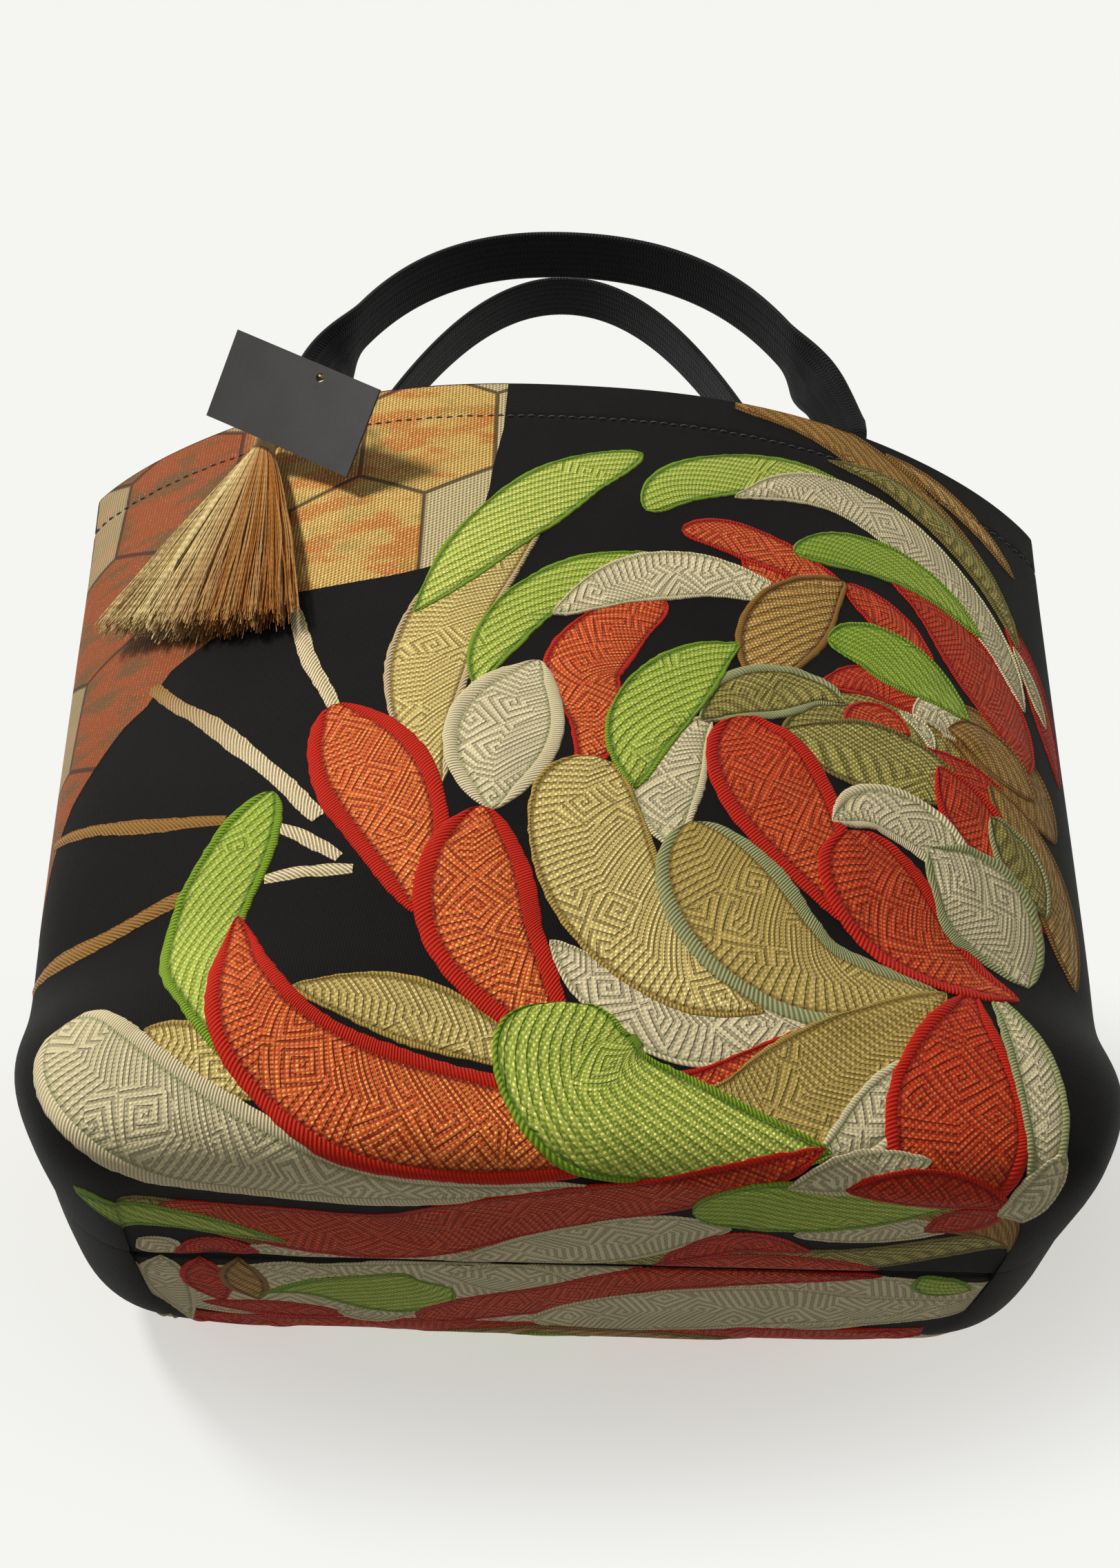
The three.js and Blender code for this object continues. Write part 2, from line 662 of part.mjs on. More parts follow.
const bag = new THREE.Group();
bag.add(
  bagHalf(-1, 'front'),
  bagHalf(1, 'rear'),
  node('base_board', baseBoard(), 'board'),
  node('tassel_loop', tasselLoop(), 'tassel'),
  placed(
    tasselFrame(),
    node('tassel_collar', tasselCollar(), 'tassel'),
    node('tassel_skirt', tasselSkirt(), 'tassel'),
  ),
  node('tag_thread', tagThread(), 'tassel'),
  placed(tagFrame(), node('hang_tag', hangTag(), 'tag')),
);

export default bag;
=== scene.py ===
"""The looks of a boxed-corner tote bag in figured cloth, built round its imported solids.

Blender works in metres with +Z up, and the front faces -Y. The functions here work in
millimetres and make_piece turns them into metres. A place on a panel is given as p, across
from its middle, and s, up from the seam along the base.
"""
import math

import bpy
import numpy as np
from bpy.props import FloatProperty, FloatVectorProperty, IntProperty, PointerProperty
from mathutils import Matrix


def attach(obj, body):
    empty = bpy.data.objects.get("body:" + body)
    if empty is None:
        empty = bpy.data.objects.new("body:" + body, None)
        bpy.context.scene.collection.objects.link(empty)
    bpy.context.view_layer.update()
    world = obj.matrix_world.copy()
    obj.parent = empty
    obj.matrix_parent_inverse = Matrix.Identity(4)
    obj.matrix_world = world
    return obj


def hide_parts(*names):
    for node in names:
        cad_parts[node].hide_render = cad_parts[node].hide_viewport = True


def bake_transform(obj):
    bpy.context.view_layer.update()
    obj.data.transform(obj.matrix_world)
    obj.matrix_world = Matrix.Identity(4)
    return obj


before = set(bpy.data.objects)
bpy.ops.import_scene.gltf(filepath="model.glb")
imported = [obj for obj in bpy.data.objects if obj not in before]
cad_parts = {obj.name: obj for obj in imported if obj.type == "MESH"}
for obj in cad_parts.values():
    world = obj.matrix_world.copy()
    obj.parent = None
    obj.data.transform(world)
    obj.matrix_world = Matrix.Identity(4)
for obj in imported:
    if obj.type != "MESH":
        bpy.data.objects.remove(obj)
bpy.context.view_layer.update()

bl_info = {
    "name": "Figured cloth tote bag",
    "version": (1, 0, 0),
    "blender": (4, 5, 0),
    "location": "3D View > Sidebar > Tote",
    "description": "Builds a tote bag in figured cloth with its webbing, tassel and hang tag",
    "category": "Object",
}

SIDES = {"front": -1, "rear": 1}
RNG_SEED = 7
LOCKS = 34

# Figures, in millimetres: how far they stand off the cloth, how deep their rims and tips are tucked in, and
# the waves and rags of their rims. Those on the base are raised by a share of what the others are.
FIGURE_STAND, FIGURE_TUCK, TIP_TUCK = 0.12, 0.35, 0.5
RIM_SWELL, RIM_WAVE, RIM_RAGGED = 0.3, 6.5, 0.22
BASE_RAISED = 0.3

# Shell sizes, in millimetres, as the solids have them
BASE_LENGTH, BASE_DEPTH, BASE_SQUARENESS, FOLD = 250, 120, 8, 12
BELLY_WIDTH, BELLY_HEIGHT, BELLY_BULGE, BULGE_HEIGHT = 300, 52, 4.5, 180
CORNER_FLARE, CORNER_ROUNDING, HEIGHT = 0.84, 16, 300
MOUTH_WIDTH, MOUTH_DEPTH, MOUTH_TAPER = 340, 88, 1.6
MOUTH_ARCH, ARCH_START, ARCH_ONSET, ARCH_SHARPNESS = 24, 110, 1.2, 2.6
SIDE_ROUNDNESS, BELLY_CREASE, MOUTH_CREASE = 2.2, 2.1, 1.25
SQUARE_HEIGHT, SQUARE_FADE = 78, 1.5
CLOTH, LINING, FACING, HEM, BOARD, LAY = 2, 1, 1.2, 20, 2, 0.3
WEBBING_WIDTH, WEBBING, SEWN_LENGTH, SEWN_STAND, ROOT_RISE = 20, 2, 28, 0.45, 9
HANDLE_LEAN, TWIST_LENGTH, LEVEL_LENGTH, BEND_REACH = math.radians(4.5), 50, 15, 4
ARCHES = {
    "front": {"rise": 102, "leg": 46, "taper": 12, "crown": 64},
    "rear": {"rise": 130, "leg": 56, "taper": 22, "crown": 44},
}
COLLAR_RADIUS, COLLAR_LENGTH, SKIRT_LENGTH, SKIRT_WIDTH, SKIRT_THICKNESS = 4, 11, 84, 72, 10
SKIRT_FAN, TASSEL_ASIDE, TASSEL_DROP, TASSEL_LEAN, TASSEL_STAND = 0.85, 8, 27, 8, 1.3
TASSEL_CORD, TAG_THREAD = 1.4, 0.8

# Lengths along a panel: the flat of the base, the rounded fold and the top edge
FLAT = BASE_DEPTH / 2 - FOLD
BEND = FOLD * math.pi / 2
TOP = FLAT + BEND + HEIGHT - FOLD
STITCH_ROW = TOP - 18.5
ROOT_X = MOUTH_WIDTH / 2 - 75
MAP_ROWS, MAP_COLUMNS, MAP_SPARE = 356, 401, 30

# The photo's camera, in millimetres and radians, and the photo's size in pixels
CAMERA_PLACE, CAMERA_PITCH, CAMERA_YAW, CAMERA_ROLL = (-22.46, -427.72, -165.34), 0.6475, -0.0459, 0.0083
CAMERA_LENS, CAMERA_SENSOR, PHOTO_WIDTH, PHOTO_HEIGHT = 38.57, 36, 1624, 2274

# Crops of the photo in which points were picked: their upper left corners, and how much enlarged
UPPER_LEFT, UPPER_RIGHT, LOWER_LEFT, LOWER_RIGHT = (0, 560), (760, 560), (0, 1120), (760, 1120)
CROP_SCALE = 2

# Points picked on the front's figures: the crop that they were picked in, then its pixels
TOP_STEM = UPPER_LEFT, (885, 740), (925, 840)
LONG_STEM = UPPER_LEFT, (520, 935), (600, 975), (700, 1050), (800, 1130)
SIDE_STEM = LOWER_LEFT, (240, 170), (400, 152)
UPPER_TWIG = LOWER_LEFT, (900, 195)
LOW_STEM = LOWER_LEFT, (150, 560)
LOWER_TWIG = LOWER_LEFT, (860, 285)
TALL_GOLD = UPPER_LEFT, (1260, 740), (1225, 880)
SMALL_GOLD = LOWER_LEFT, (520, 780)
RIGHT_RED = UPPER_RIGHT, (1160, 630), (1260, 750)
ARCHED_WHITE = UPPER_RIGHT, (610, 325)
UPPER_RED = UPPER_RIGHT, (455, 425), (590, 440), (730, 490), (860, 550)
LONG_WHITE = LOWER_LEFT, (1000, 1198)
LEFT_LIME = LOWER_LEFT, (700, 860)
BROAD_OLIVE = UPPER_RIGHT, (730, 1000), (880, 1040), (1040, 1090), (1180, 1150)
LOW_RED = LOWER_RIGHT, (370, 905), (520, 905), (700, 830), (860, 750), (960, 692)
LOW_GOLD = LOWER_RIGHT, (430, 965)
CORNER_RED = LOWER_RIGHT, (1255, 1030)
CORNER_WHITE = LOWER_RIGHT, (1500, 930)
MIDDLE_WHITE_START = LOWER_RIGHT, (890, 140)
MIDDLE_WHITE_END = LOWER_RIGHT, (1120, 140), (1220, 230)
PATCH_FOOT = UPPER_LEFT, (215, 1215)
PATCH_SLOPE = UPPER_LEFT, (500, 830), (560, 780), (640, 720)
PATCH_TOP = UPPER_LEFT, (1420, 300), (1432, 233)

# The stage, in metres: its lamps, its two sheets and how far the bag's shadow is kept on them
KEY_PLACE, KEY_SIZE = (-0.7, -0.84, 0.6), 0.2
BACK_PLACE, BACK_SIZE = (-0.15, 1.05, 0.75), 0.6
LAMP_AIM = (0.0, -0.02, 0.16)
FLOOR_PLACE, FLOOR_REACH, FLOOR_FOOT = (0, 0, -0.0015), 1.4, 0.0
BACKDROP_PLACE, BACKDROP_REACH, BACKDROP_FOOT = (0, 0.0685, 0.15), 1.2, -0.1
FADE_START, FADE_END = 0.25, 0.62
SHADOW_FULL, SHADOW_GONE, SHADOW_SQUEEZE = 0.04, 0.115, 0.4


def rgb(red, green, blue):
    """A colour given by its screen values from 0 to 255, as linear light."""
    def linear(value):
        value /= 255
        return value / 12.92 if value <= 0.04045 else ((value + 0.055) / 1.055) ** 2.4
    return tuple(linear(value) for value in (red, green, blue))


def colour(name, description, screen):
    return FloatVectorProperty(
        name=name, description=description, subtype="COLOR", size=3, min=0, max=1, default=rgb(*screen))


def distance(name, description, millimetres):
    return FloatProperty(
        name=name, description=description, unit="LENGTH", min=1e-5, default=millimetres / 1000, precision=5)


def power(name, description, strength):
    return FloatProperty(name=name, description=description, default=strength, min=0)


class ClothSettings(bpy.types.PropertyGroup):
    """Colours and thread sizes of the figured cloth."""
    ground: colour("Ground", "Satin ground between the figures", (14, 12, 11))
    gold: colour("Gold", "Gold petals", (204, 172, 86))
    red: colour("Red", "Red petals", (206, 40, 18))
    red_edge: colour("Red edge", "Raised edge of the red petals", (224, 42, 18))
    lime: colour("Lime", "Lime green petals", (144, 178, 44))
    white: colour("Off-white", "Off-white petals", (252, 234, 184))
    pale_edge: colour("Pale edge", "Pale green edge of some petals", (178, 180, 122))
    olive: colour("Olive", "Olive petals", (140, 126, 58))
    bronze: colour("Bronze", "Bronze petals and the band at the top", (164, 116, 48))
    glint: colour("Glint", "Gold thread that runs through the cells", (240, 214, 138))
    hexagon: colour("Hexagon gold", "Tortoiseshell cells", (226, 186, 96))
    hexagon_rust: colour("Hexagon rust", "Clouds in the tortoiseshell cells", (212, 128, 44))
    hexagon_pale: colour("Hexagon pale", "Some of the tortoiseshell cells", (206, 198, 150))
    # Hexagon brown: the cells towards the side seam, a darker brown that is painted shade where the side
    # turns away from the light
    hexagon_shaded_side: colour("Hexagon brown", "Tortoiseshell cells towards the side", (152, 62, 20))
    fret_cell: distance("Fret cell", "Size of one turn-in of the key fret", 13)
    fret_pitch: distance("Fret pitch", "Distance between the fret's lines", 2.3)
    hatch_pitch: distance("Hatch pitch", "Distance between the slanting lines", 1.5)
    thread_pitch: distance("Thread pitch", "Distance between threads", 0.75)
    hexagon_width: distance("Hexagon width", "Distance across the flats of a cell", 45)
    crown: distance("Petal crown", "How high a petal's middle stands", 0.35)
    edge_rise: distance("Edge rise", "How high a petal's corded edge stands", 0.45)


class TrimSettings(bpy.types.PropertyGroup):
    """Colours and sizes of the webbing, stitching, lining and small parts."""
    webbing: colour("Webbing", "Handles", (14, 14, 14))
    rib_pitch: distance("Rib pitch", "Distance between the webbing's ribs", 1.3)
    lining: colour("Lining", "Lining and facing", (44, 40, 37))
    weave_pitch: distance("Weave pitch", "Distance between the lining's threads", 0.6)
    stitch: colour("Stitching", "Sewing thread", (24, 22, 22))
    stitch_length: distance("Stitch length", "Length of one stitch", 2.6)
    stitch_gap: distance("Stitch gap", "Gap between stitches", 0.9)
    card: colour("Hang tag", "Card of the hang tag", (52, 50, 48))
    snap: colour("Snap", "Plated snap halves", (186, 158, 104))
    board: colour("Board", "Stiff board in the base", (128, 122, 112))


class TasselSettings(bpy.types.PropertyGroup):
    """Colours and threads of the tassel and its loop."""
    cream: colour("Cream", "Light threads", (255, 236, 168))
    amber: colour("Amber", "Darker threads", (172, 106, 36))
    threads: IntProperty(
        name="Threads", description="Number of threads in the skirt", default=1500, min=50, max=3000)
    thickness: distance("Thread thickness", "Thickness of one thread", 0.38)


class StageSettings(bpy.types.PropertyGroup):
    """Light, floor and backdrop."""
    paper: colour("Paper", "Floor and backdrop where light falls on them", (168, 170, 169))
    shade: colour("Paper in shade", "What the floor and backdrop keep in shadow", (192, 190, 185))
    sky: colour("Surroundings", "What the camera sees past the backdrop", (245, 245, 242))
    key: power("Key light", "Power of the key light in watts", 12.6)
    back: power("Back light", "Power of the light on the back in watts", 9.0)
    ambient: power("Ambient", "Strength of the light from all round", 0.25)


# The bag's surface

def smooth(x, low, high):
    t = np.clip((x - low) / (high - low), 0, 1)
    return t * t * (3 - 2 * t)


def soft_min(p, q, width):
    return (p + q - np.hypot(p - q, width)) / 2


def plan(height):
    """Half width, half depth and the two exponents of the bag's outline at a height."""
    up = np.clip(height / HEIGHT, 0, 1)

    def reach(level):
        climb = (level - BELLY_HEIGHT) / (HEIGHT - BELLY_HEIGHT)
        side = (BELLY_WIDTH + (MOUTH_WIDTH - BELLY_WIDTH) * climb) / 2
        return soft_min(BASE_LENGTH / 2 + CORNER_FLARE * level, side, CORNER_ROUNDING)

    square = (1 - smooth(height, 0, SQUARE_HEIGHT)) ** SQUARE_FADE
    crease = BELLY_CREASE + (MOUTH_CREASE - BELLY_CREASE) * smooth(height, SQUARE_HEIGHT, HEIGHT)
    half_width = reach(height) + (BASE_LENGTH / 2 - reach(0.0)) * (1 - up)
    bulge = BELLY_BULGE * np.sin(np.pi * np.minimum(height / BULGE_HEIGHT, 1))
    half_depth = BASE_DEPTH / 2 + bulge + (MOUTH_DEPTH - BASE_DEPTH) / 2 * up ** MOUTH_TAPER
    roundness = SIDE_ROUNDNESS + (BASE_SQUARENESS - SIDE_ROUNDNESS) * square
    return half_width, half_depth, roundness, crease + (BASE_SQUARENESS - crease) * square


def arch_drop(height, across):
    rise = np.clip((height - ARCH_START) / (HEIGHT - ARCH_START), 0, 1)
    return MOUTH_ARCH * rise ** ARCH_ONSET * np.abs(across) ** ARCH_SHARPNESS


def mouth_edge(x):
    return HEIGHT - arch_drop(HEIGHT, 2 * x / MOUTH_WIDTH)


def wall(side, height, across, depth=0.0):
    """Points of a layer at a depth under the cloth's face; across runs from -1 to 1."""
    half_width, half_depth, roundness, crease = plan(height)
    radius = FOLD - depth
    rise = np.clip(FOLD - height, 0, radius)
    inset = np.where(height >= FOLD, depth, FOLD - np.sqrt(np.maximum(radius ** 2 - rise ** 2, 0)))
    bow = np.maximum(0, 1 - np.abs(across) ** roundness) ** (1 / crease)
    return np.stack([
        (half_width - inset) * across,
        side * (LAY / 2 + (half_depth - inset) * bow),
        height - arch_drop(height, across),
    ], -1)


def surface(side, across, s, depth=0.0, floor=0.0):
    """Points of a layer by how far they are up the panel."""
    across, s = np.broadcast_arrays(np.asarray(across, float), np.asarray(s, float))
    turn = np.clip((s - FLAT) / FOLD, 0, np.pi / 2)
    height = np.where(s < FLAT + BEND, FOLD - (FOLD - depth) * np.cos(turn), s - FLAT - BEND + FOLD)
    points = wall(side, height, across, depth)
    seam = side * LAY / 2
    flat = seam + (points[..., 1] - seam) * np.clip(s / FLAT, 0, 1)
    points[..., 1] = np.where(s < FLAT, flat, points[..., 1])
    points[..., 2] = np.maximum(points[..., 2], floor)
    return points


def wall_at(x, z, depth):
    """The layer's distance from the middle plane at a place, and its slopes along x and z."""
    def reach(px, pz):
        height, across = pz, 0.0
        for _ in range(8):
            across = px / (plan(height)[0] - depth)
            height = pz + arch_drop(height, across)
        return -wall(-1, np.float64(height), across, depth)[1]
    step = 0.5
    along_x = (reach(x + step, z) - reach(x - step, z)) / (2 * step)
    along_z = (reach(x, z + step) - reach(x, z - step)) / (2 * step)
    return reach(x, z), along_x, along_z


def ripple(side, p, s, half):
    """Soft waves of the filled cloth, which die away at its seams, at the base and at the mouth."""
    shift = 0.0 if side < 0 else 1.7
    waves = (np.sin(p / 33 + s / 41 + shift) + 0.7 * np.sin(p / 19 - s / 36 + 2 + shift)
             + 0.6 * np.sin(p / 57 + s / 21 - shift))
    inside = smooth(half - np.abs(p), 4, 40) * smooth(s, FLAT + BEND, 130) * (
        1 - 0.75 * smooth(s, TOP - 70, TOP - 25))
    sewn = s - STITCH_ROW
    pucker = -0.35 * np.exp(-(sewn / 1.4) ** 2) - 0.12 * np.exp(-(sewn / 5) ** 2) * np.cos(2 * np.pi * p / 11)
    seam_dip = -0.8 * np.exp(-(s / 1.6) ** 2)
    side_dip = -0.7 * np.exp(-((half - np.abs(p)) / 1.5) ** 2)
    return 0.55 * waves * inside + pucker + seam_dip + side_dip


def run_across(points):
    """How far each point of every row is from the row's middle, along the cloth."""
    steps = np.linalg.norm(np.diff(points, axis=1), axis=2)
    run = np.concatenate([np.zeros((len(points), 1)), np.cumsum(steps, 1)], 1)
    return run - run[:, [run.shape[1] // 2]]


class PanelMap:
    """One face of the bag, unrolled, with its points and outward directions at every millimetre."""

    def __init__(self, side):
        self.side = side
        across = np.sin(np.pi / 2 * np.linspace(-1, 1, MAP_COLUMNS))
        self.rows = np.linspace(0, TOP, MAP_ROWS)
        points = surface(side, across[None, :], self.rows[:, None])
        run = run_across(points)
        self.half = run[:, -1]
        self.wide = int(self.half.max()) + 6
        self.columns = np.arange(-self.wide, self.wide + 1.0)
        table = np.empty((MAP_ROWS, len(self.columns), 3))
        for i, (row, at) in enumerate(zip(points, run)):
            before = row[0] - (row[1] - row[0]) / (at[1] - at[0]) * MAP_SPARE
            after = row[-1] + (row[-1] - row[-2]) / (at[-1] - at[-2]) * MAP_SPARE
            at = np.concatenate([[at[0] - MAP_SPARE], at, [at[-1] + MAP_SPARE]])
            row = np.concatenate([[before], row, [after]])
            for k in range(3):
                table[i, :, k] = np.interp(self.columns, at, row[:, k])
        self.points = table
        out = -side * np.cross(np.gradient(table, axis=1), np.gradient(table, axis=0))
        self.outward = out / np.maximum(np.linalg.norm(out, axis=2, keepdims=True), 1e-9)

    def half_at(self, s):
        return np.interp(s, self.rows, self.half)

    def sample(self, table, p, s):
        """Reads a table of the panel between its millimetres."""
        i = np.clip(s / TOP * (MAP_ROWS - 1), 0, MAP_ROWS - 1.001)
        j = np.clip(p + self.wide, 0, 2 * self.wide - 0.001)
        i0, j0 = i.astype(int), j.astype(int)
        di, dj = i - i0, j - j0
        if table.ndim == 3:
            di, dj = di[..., None], dj[..., None]
        low = table[i0, j0] * (1 - dj) + table[i0, j0 + 1] * dj
        high = table[i0 + 1, j0] * (1 - dj) + table[i0 + 1, j0 + 1] * dj
        return low * (1 - di) + high * di

    def normal(self, p, s):
        out = self.sample(self.outward, p, s)
        return out / np.maximum(np.linalg.norm(out, axis=-1, keepdims=True), 1e-9)

    def place(self, p, s, lift=0.0):
        """Points on the cloth, lifted off it along its outward direction."""
        p, s, lift = np.broadcast_arrays(np.asarray(p, float), np.asarray(s, float), np.asarray(lift, float))
        half = self.half_at(s)
        rise = lift + ripple(self.side, p, s, half)
        return self.sample(self.points, p, s) + self.normal(p, s) * rise[..., None]


PANELS = {}


def panel_map(side):
    if side not in PANELS:
        PANELS[side] = PanelMap(side)
    return PANELS[side]


# The photo's camera

def camera_axes():
    """The camera's ways to the right, up and ahead."""
    pitch, yaw, roll = CAMERA_PITCH, CAMERA_YAW, CAMERA_ROLL
    ahead = np.array([-math.sin(yaw) * math.cos(pitch), math.cos(yaw) * math.cos(pitch), math.sin(pitch)])
    level = np.array([math.cos(yaw), math.sin(yaw), 0])
    upward = np.array([math.sin(yaw) * math.sin(pitch), -math.cos(yaw) * math.sin(pitch), math.cos(pitch)])
    right = math.cos(roll) * level + math.sin(roll) * upward
    up = -math.sin(roll) * level + math.cos(roll) * upward
    return right, up, ahead


def photo_view():
    """The front panel's places, a millimetre apart, and the pixels at which the photo shows them."""
    panel = panel_map(SIDES["front"])
    widest = int(panel.half.max())
    p, s = np.meshgrid(np.arange(-widest, widest + 1.0), np.arange(int(TOP) + 1) + 0.5)
    away = panel.sample(panel.points, p, s) - np.array(CAMERA_PLACE)
    right, up, ahead = camera_axes()
    scale = CAMERA_LENS / CAMERA_SENSOR * PHOTO_HEIGHT / (away @ ahead)
    return p, s, PHOTO_WIDTH / 2 + away @ right * scale, PHOTO_HEIGHT / 2 - away @ up * scale


PHOTO_VIEW = photo_view()


def seen(picked):
    """Places on the front panel, to the millimetre, of points picked in a crop of the photo."""
    p, s, x, y = PHOTO_VIEW
    crop, *picks = picked
    places = []
    for across, down in picks:
        nearest = np.argmin(np.hypot(x - crop[0] - across / CROP_SCALE, y - crop[1] - down / CROP_SCALE))
        places.append((int(p.flat[nearest]), int(s.flat[nearest])))
    return places


# Meshes from grids of points

def grid_faces(rows, columns, start=0, flip=False):
    i = np.arange(rows - 1)[:, None] * columns + np.arange(columns - 1)[None, :] + start
    quads = np.stack([i, i + 1, i + columns + 1, i + columns], -1).reshape(-1, 4)
    return quads[:, ::-1] if flip else quads


class Gathered:
    """Grids of points that become one mesh."""

    def __init__(self):
        self.points, self.faces, self.uv, self.tint, self.margin = [], [], [], [], []
        self.count = 0

    def add(self, points, uv, tint=0.0, margin=0.0, flip=False):
        rows, columns = points.shape[:2]
        self.faces.append(grid_faces(rows, columns, self.count, flip))
        self.points.append(points.reshape(-1, 3))
        self.uv.append(np.broadcast_to(uv, (rows, columns, 2)).reshape(-1, 2))
        self.tint.append(np.broadcast_to(tint, (rows, columns)).reshape(-1))
        self.margin.append(np.broadcast_to(margin, (rows, columns)).reshape(-1))
        self.count += rows * columns

    def arrays(self):
        return (np.concatenate(self.points), np.concatenate(self.faces),
                np.concatenate(self.uv), np.concatenate(self.tint))


def make_piece(name, points, faces, finish, uv=None, tint=None, crease=None, margin=None):
    """An object from points in millimetres, with its thread map, its tint and its margin."""
    mesh = bpy.data.meshes.new(name)
    mesh.from_pydata((np.asarray(points) / 1000).tolist(), [], [list(face) for face in faces])
    corners = np.empty(len(mesh.loops), int)
    mesh.loops.foreach_get("vertex_index", corners)
    if uv is not None:
        mesh.uv_layers.new(name="thread").data.foreach_set("uv", np.asarray(uv, np.float32)[corners].ravel())
    for mark, values in (("tint", tint), ("margin", margin)):
        if values is not None:
            layer = mesh.attributes.new(mark, "FLOAT", "POINT")
            layer.data.foreach_set("value", np.asarray(values, np.float32))
    mesh.shade_smooth()
    if crease is not None:
        mesh.set_sharp_from_angle(angle=math.radians(crease))
    mesh.materials.append(finish)
    piece = bpy.data.objects.new(name, mesh)
    bpy.context.scene.collection.objects.link(piece)
    return piece


def settle(piece, body, replaced=()):
    """Makes a piece ride on a body and stand for solids."""
    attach(piece, body)
    if replaced:
        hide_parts(*replaced)
    return piece


def tubes(centres, radii, sides):
    """Points of round threads through rows of centres, as threads by steps by places round."""
    threads, steps = centres.shape[:2]
    along = np.gradient(centres, axis=1)
    along /= np.maximum(np.linalg.norm(along, axis=2, keepdims=True), 1e-9)
    first = np.empty_like(along)
    guess = np.where(np.abs(along[:, 0, [2]]) < 0.9, [0.0, 0.0, 1.0], [1.0, 0.0, 0.0])
    for k in range(steps):
        guess = guess - along[:, k] * np.sum(guess * along[:, k], 1, keepdims=True)
        guess /= np.maximum(np.linalg.norm(guess, axis=1, keepdims=True), 1e-9)
        first[:, k] = guess
    second = np.cross(along, first)
    turn = np.linspace(0, 2 * np.pi, sides + 1)[None, None, :, None]
    ring = np.cos(turn) * first[:, :, None] + np.sin(turn) * second[:, :, None]
    return centres[:, :, None] + ring * np.asarray(radii)[..., None, None]


def add_tubes(gathered, centres, radii, sides, tint=0.0):
    """Adds each tube as a grid whose thread map is its run along and the way round."""
    points = tubes(centres, radii, sides)
    steps = np.linalg.norm(np.diff(centres, axis=1), axis=2)
    run = np.concatenate([np.zeros((len(centres), 1)), np.cumsum(steps, 1)], 1)
    tint = np.broadcast_to(tint, (len(centres),))
    around = np.linspace(0, 1, sides + 1)
    for grid, length, shade in zip(points, run, tint):
        uv = np.stack(np.broadcast_arrays(length[:, None], around[None, :]), -1)
        gathered.add(grid, uv, shade)


def run_along(line):
    """How far each point of a line is from its start."""
    return np.concatenate([[0], np.cumsum(np.linalg.norm(np.diff(line, axis=0), axis=1))])


def closed_sheet(outer, inner, uv, hem_rise=0.0):
    """A sheet between two faces, with a rounded top edge, as one closed mesh."""
    rows, columns = outer.shape[:2]
    cap_shares = (0.2, 0.5, 0.8)
    cap = [outer[-1] * (1 - k) + inner[-1] * k + np.array([0, 0, hem_rise * math.sin(math.pi * k)])
           for k in cap_shares]
    ring = np.concatenate([outer, np.array(cap), inner[::-1]])
    total = len(ring)
    faces = [grid_faces(total, columns)]
    last = (total - 1) * columns + np.arange(columns - 1)
    first = np.arange(columns - 1)
    faces.append(np.stack([last, last + 1, first + 1, first], -1))
    out_rows = np.arange(rows - 1)
    in_rows = total - 1 - out_rows
    for column, flip in ((0, False), (columns - 1, True)):
        a, b = out_rows * columns + column, (out_rows + 1) * columns + column
        c, d = (in_rows - 1) * columns + column, in_rows * columns + column
        quads = np.stack([a, b, c, d], -1)
        faces.append(quads[:, ::-1] if flip else quads)
    tip = [[(rows - 1 + k) * columns + column for k in range(len(cap) + 2)] for column in (0, columns - 1)]
    flat_uv = np.concatenate([uv, np.repeat(uv[-1:], len(cap), 0), uv[::-1]])
    face_list = [list(f) for f in np.concatenate(faces)] + [tip[0], tip[1][::-1]]
    return ring.reshape(-1, 3), face_list, flat_uv.reshape(-1, 2)


# Finishes

class Value:
    """A shader socket. Arithmetic on it adds Math nodes to its finish."""

    def __init__(self, finish, socket):
        self.finish = finish
        self.socket = socket

    def maths(self, operation, *terms):
        return self.finish.node("ShaderNodeMath", {"operation": operation}, dict(enumerate(terms)))

    def output(self, name):
        """Another output of the same node."""
        return Value(self.finish, self.socket.node.outputs[name])

    def __add__(self, other):
        return self.maths("ADD", self, other)

    def __radd__(self, other):
        return self.maths("ADD", other, self)

    def __sub__(self, other):
        return self.maths("SUBTRACT", self, other)

    def __rsub__(self, other):
        return self.maths("SUBTRACT", other, self)

    def __mul__(self, other):
        return self.maths("MULTIPLY", self, other)

    def __rmul__(self, other):
        return self.maths("MULTIPLY", other, self)

    def __truediv__(self, other):
        return self.maths("DIVIDE", self, other)

    def __mod__(self, other):
        return self.maths("FLOORED_MODULO", self, other)

    def __lt__(self, other):
        return self.maths("LESS_THAN", self, other)

    def __abs__(self):
        return self.maths("ABSOLUTE", self)

    def floor(self):
        return self.maths("FLOOR", self)

    def cos(self):
        return self.maths("COSINE", self)

    def most(self, other):
        return self.maths("MAXIMUM", self, other)

    def least(self, other):
        return self.maths("MINIMUM", self, other)

    def turn_with(self, other):
        """The angle of the point (other, self), from -pi to pi."""
        return self.maths("ARCTAN2", self, other)

    def wave(self, pitch):
        """From 0 to 1 and back once for each pitch."""
        return (self * (2 * math.pi / pitch)).cos() * 0.5 + 0.5

    def step(self, low, high):
        """A soft step from 0 at low to 1 at high."""
        return self.finish.node(
            "ShaderNodeMapRange", {"interpolation_type": "SMOOTHSTEP"},
            {"Value": self, "From Min": low, "From Max": high, "To Min": 0.0, "To Max": 1.0})


def opaque(value):
    return (*value, 1) if isinstance(value, tuple) else value


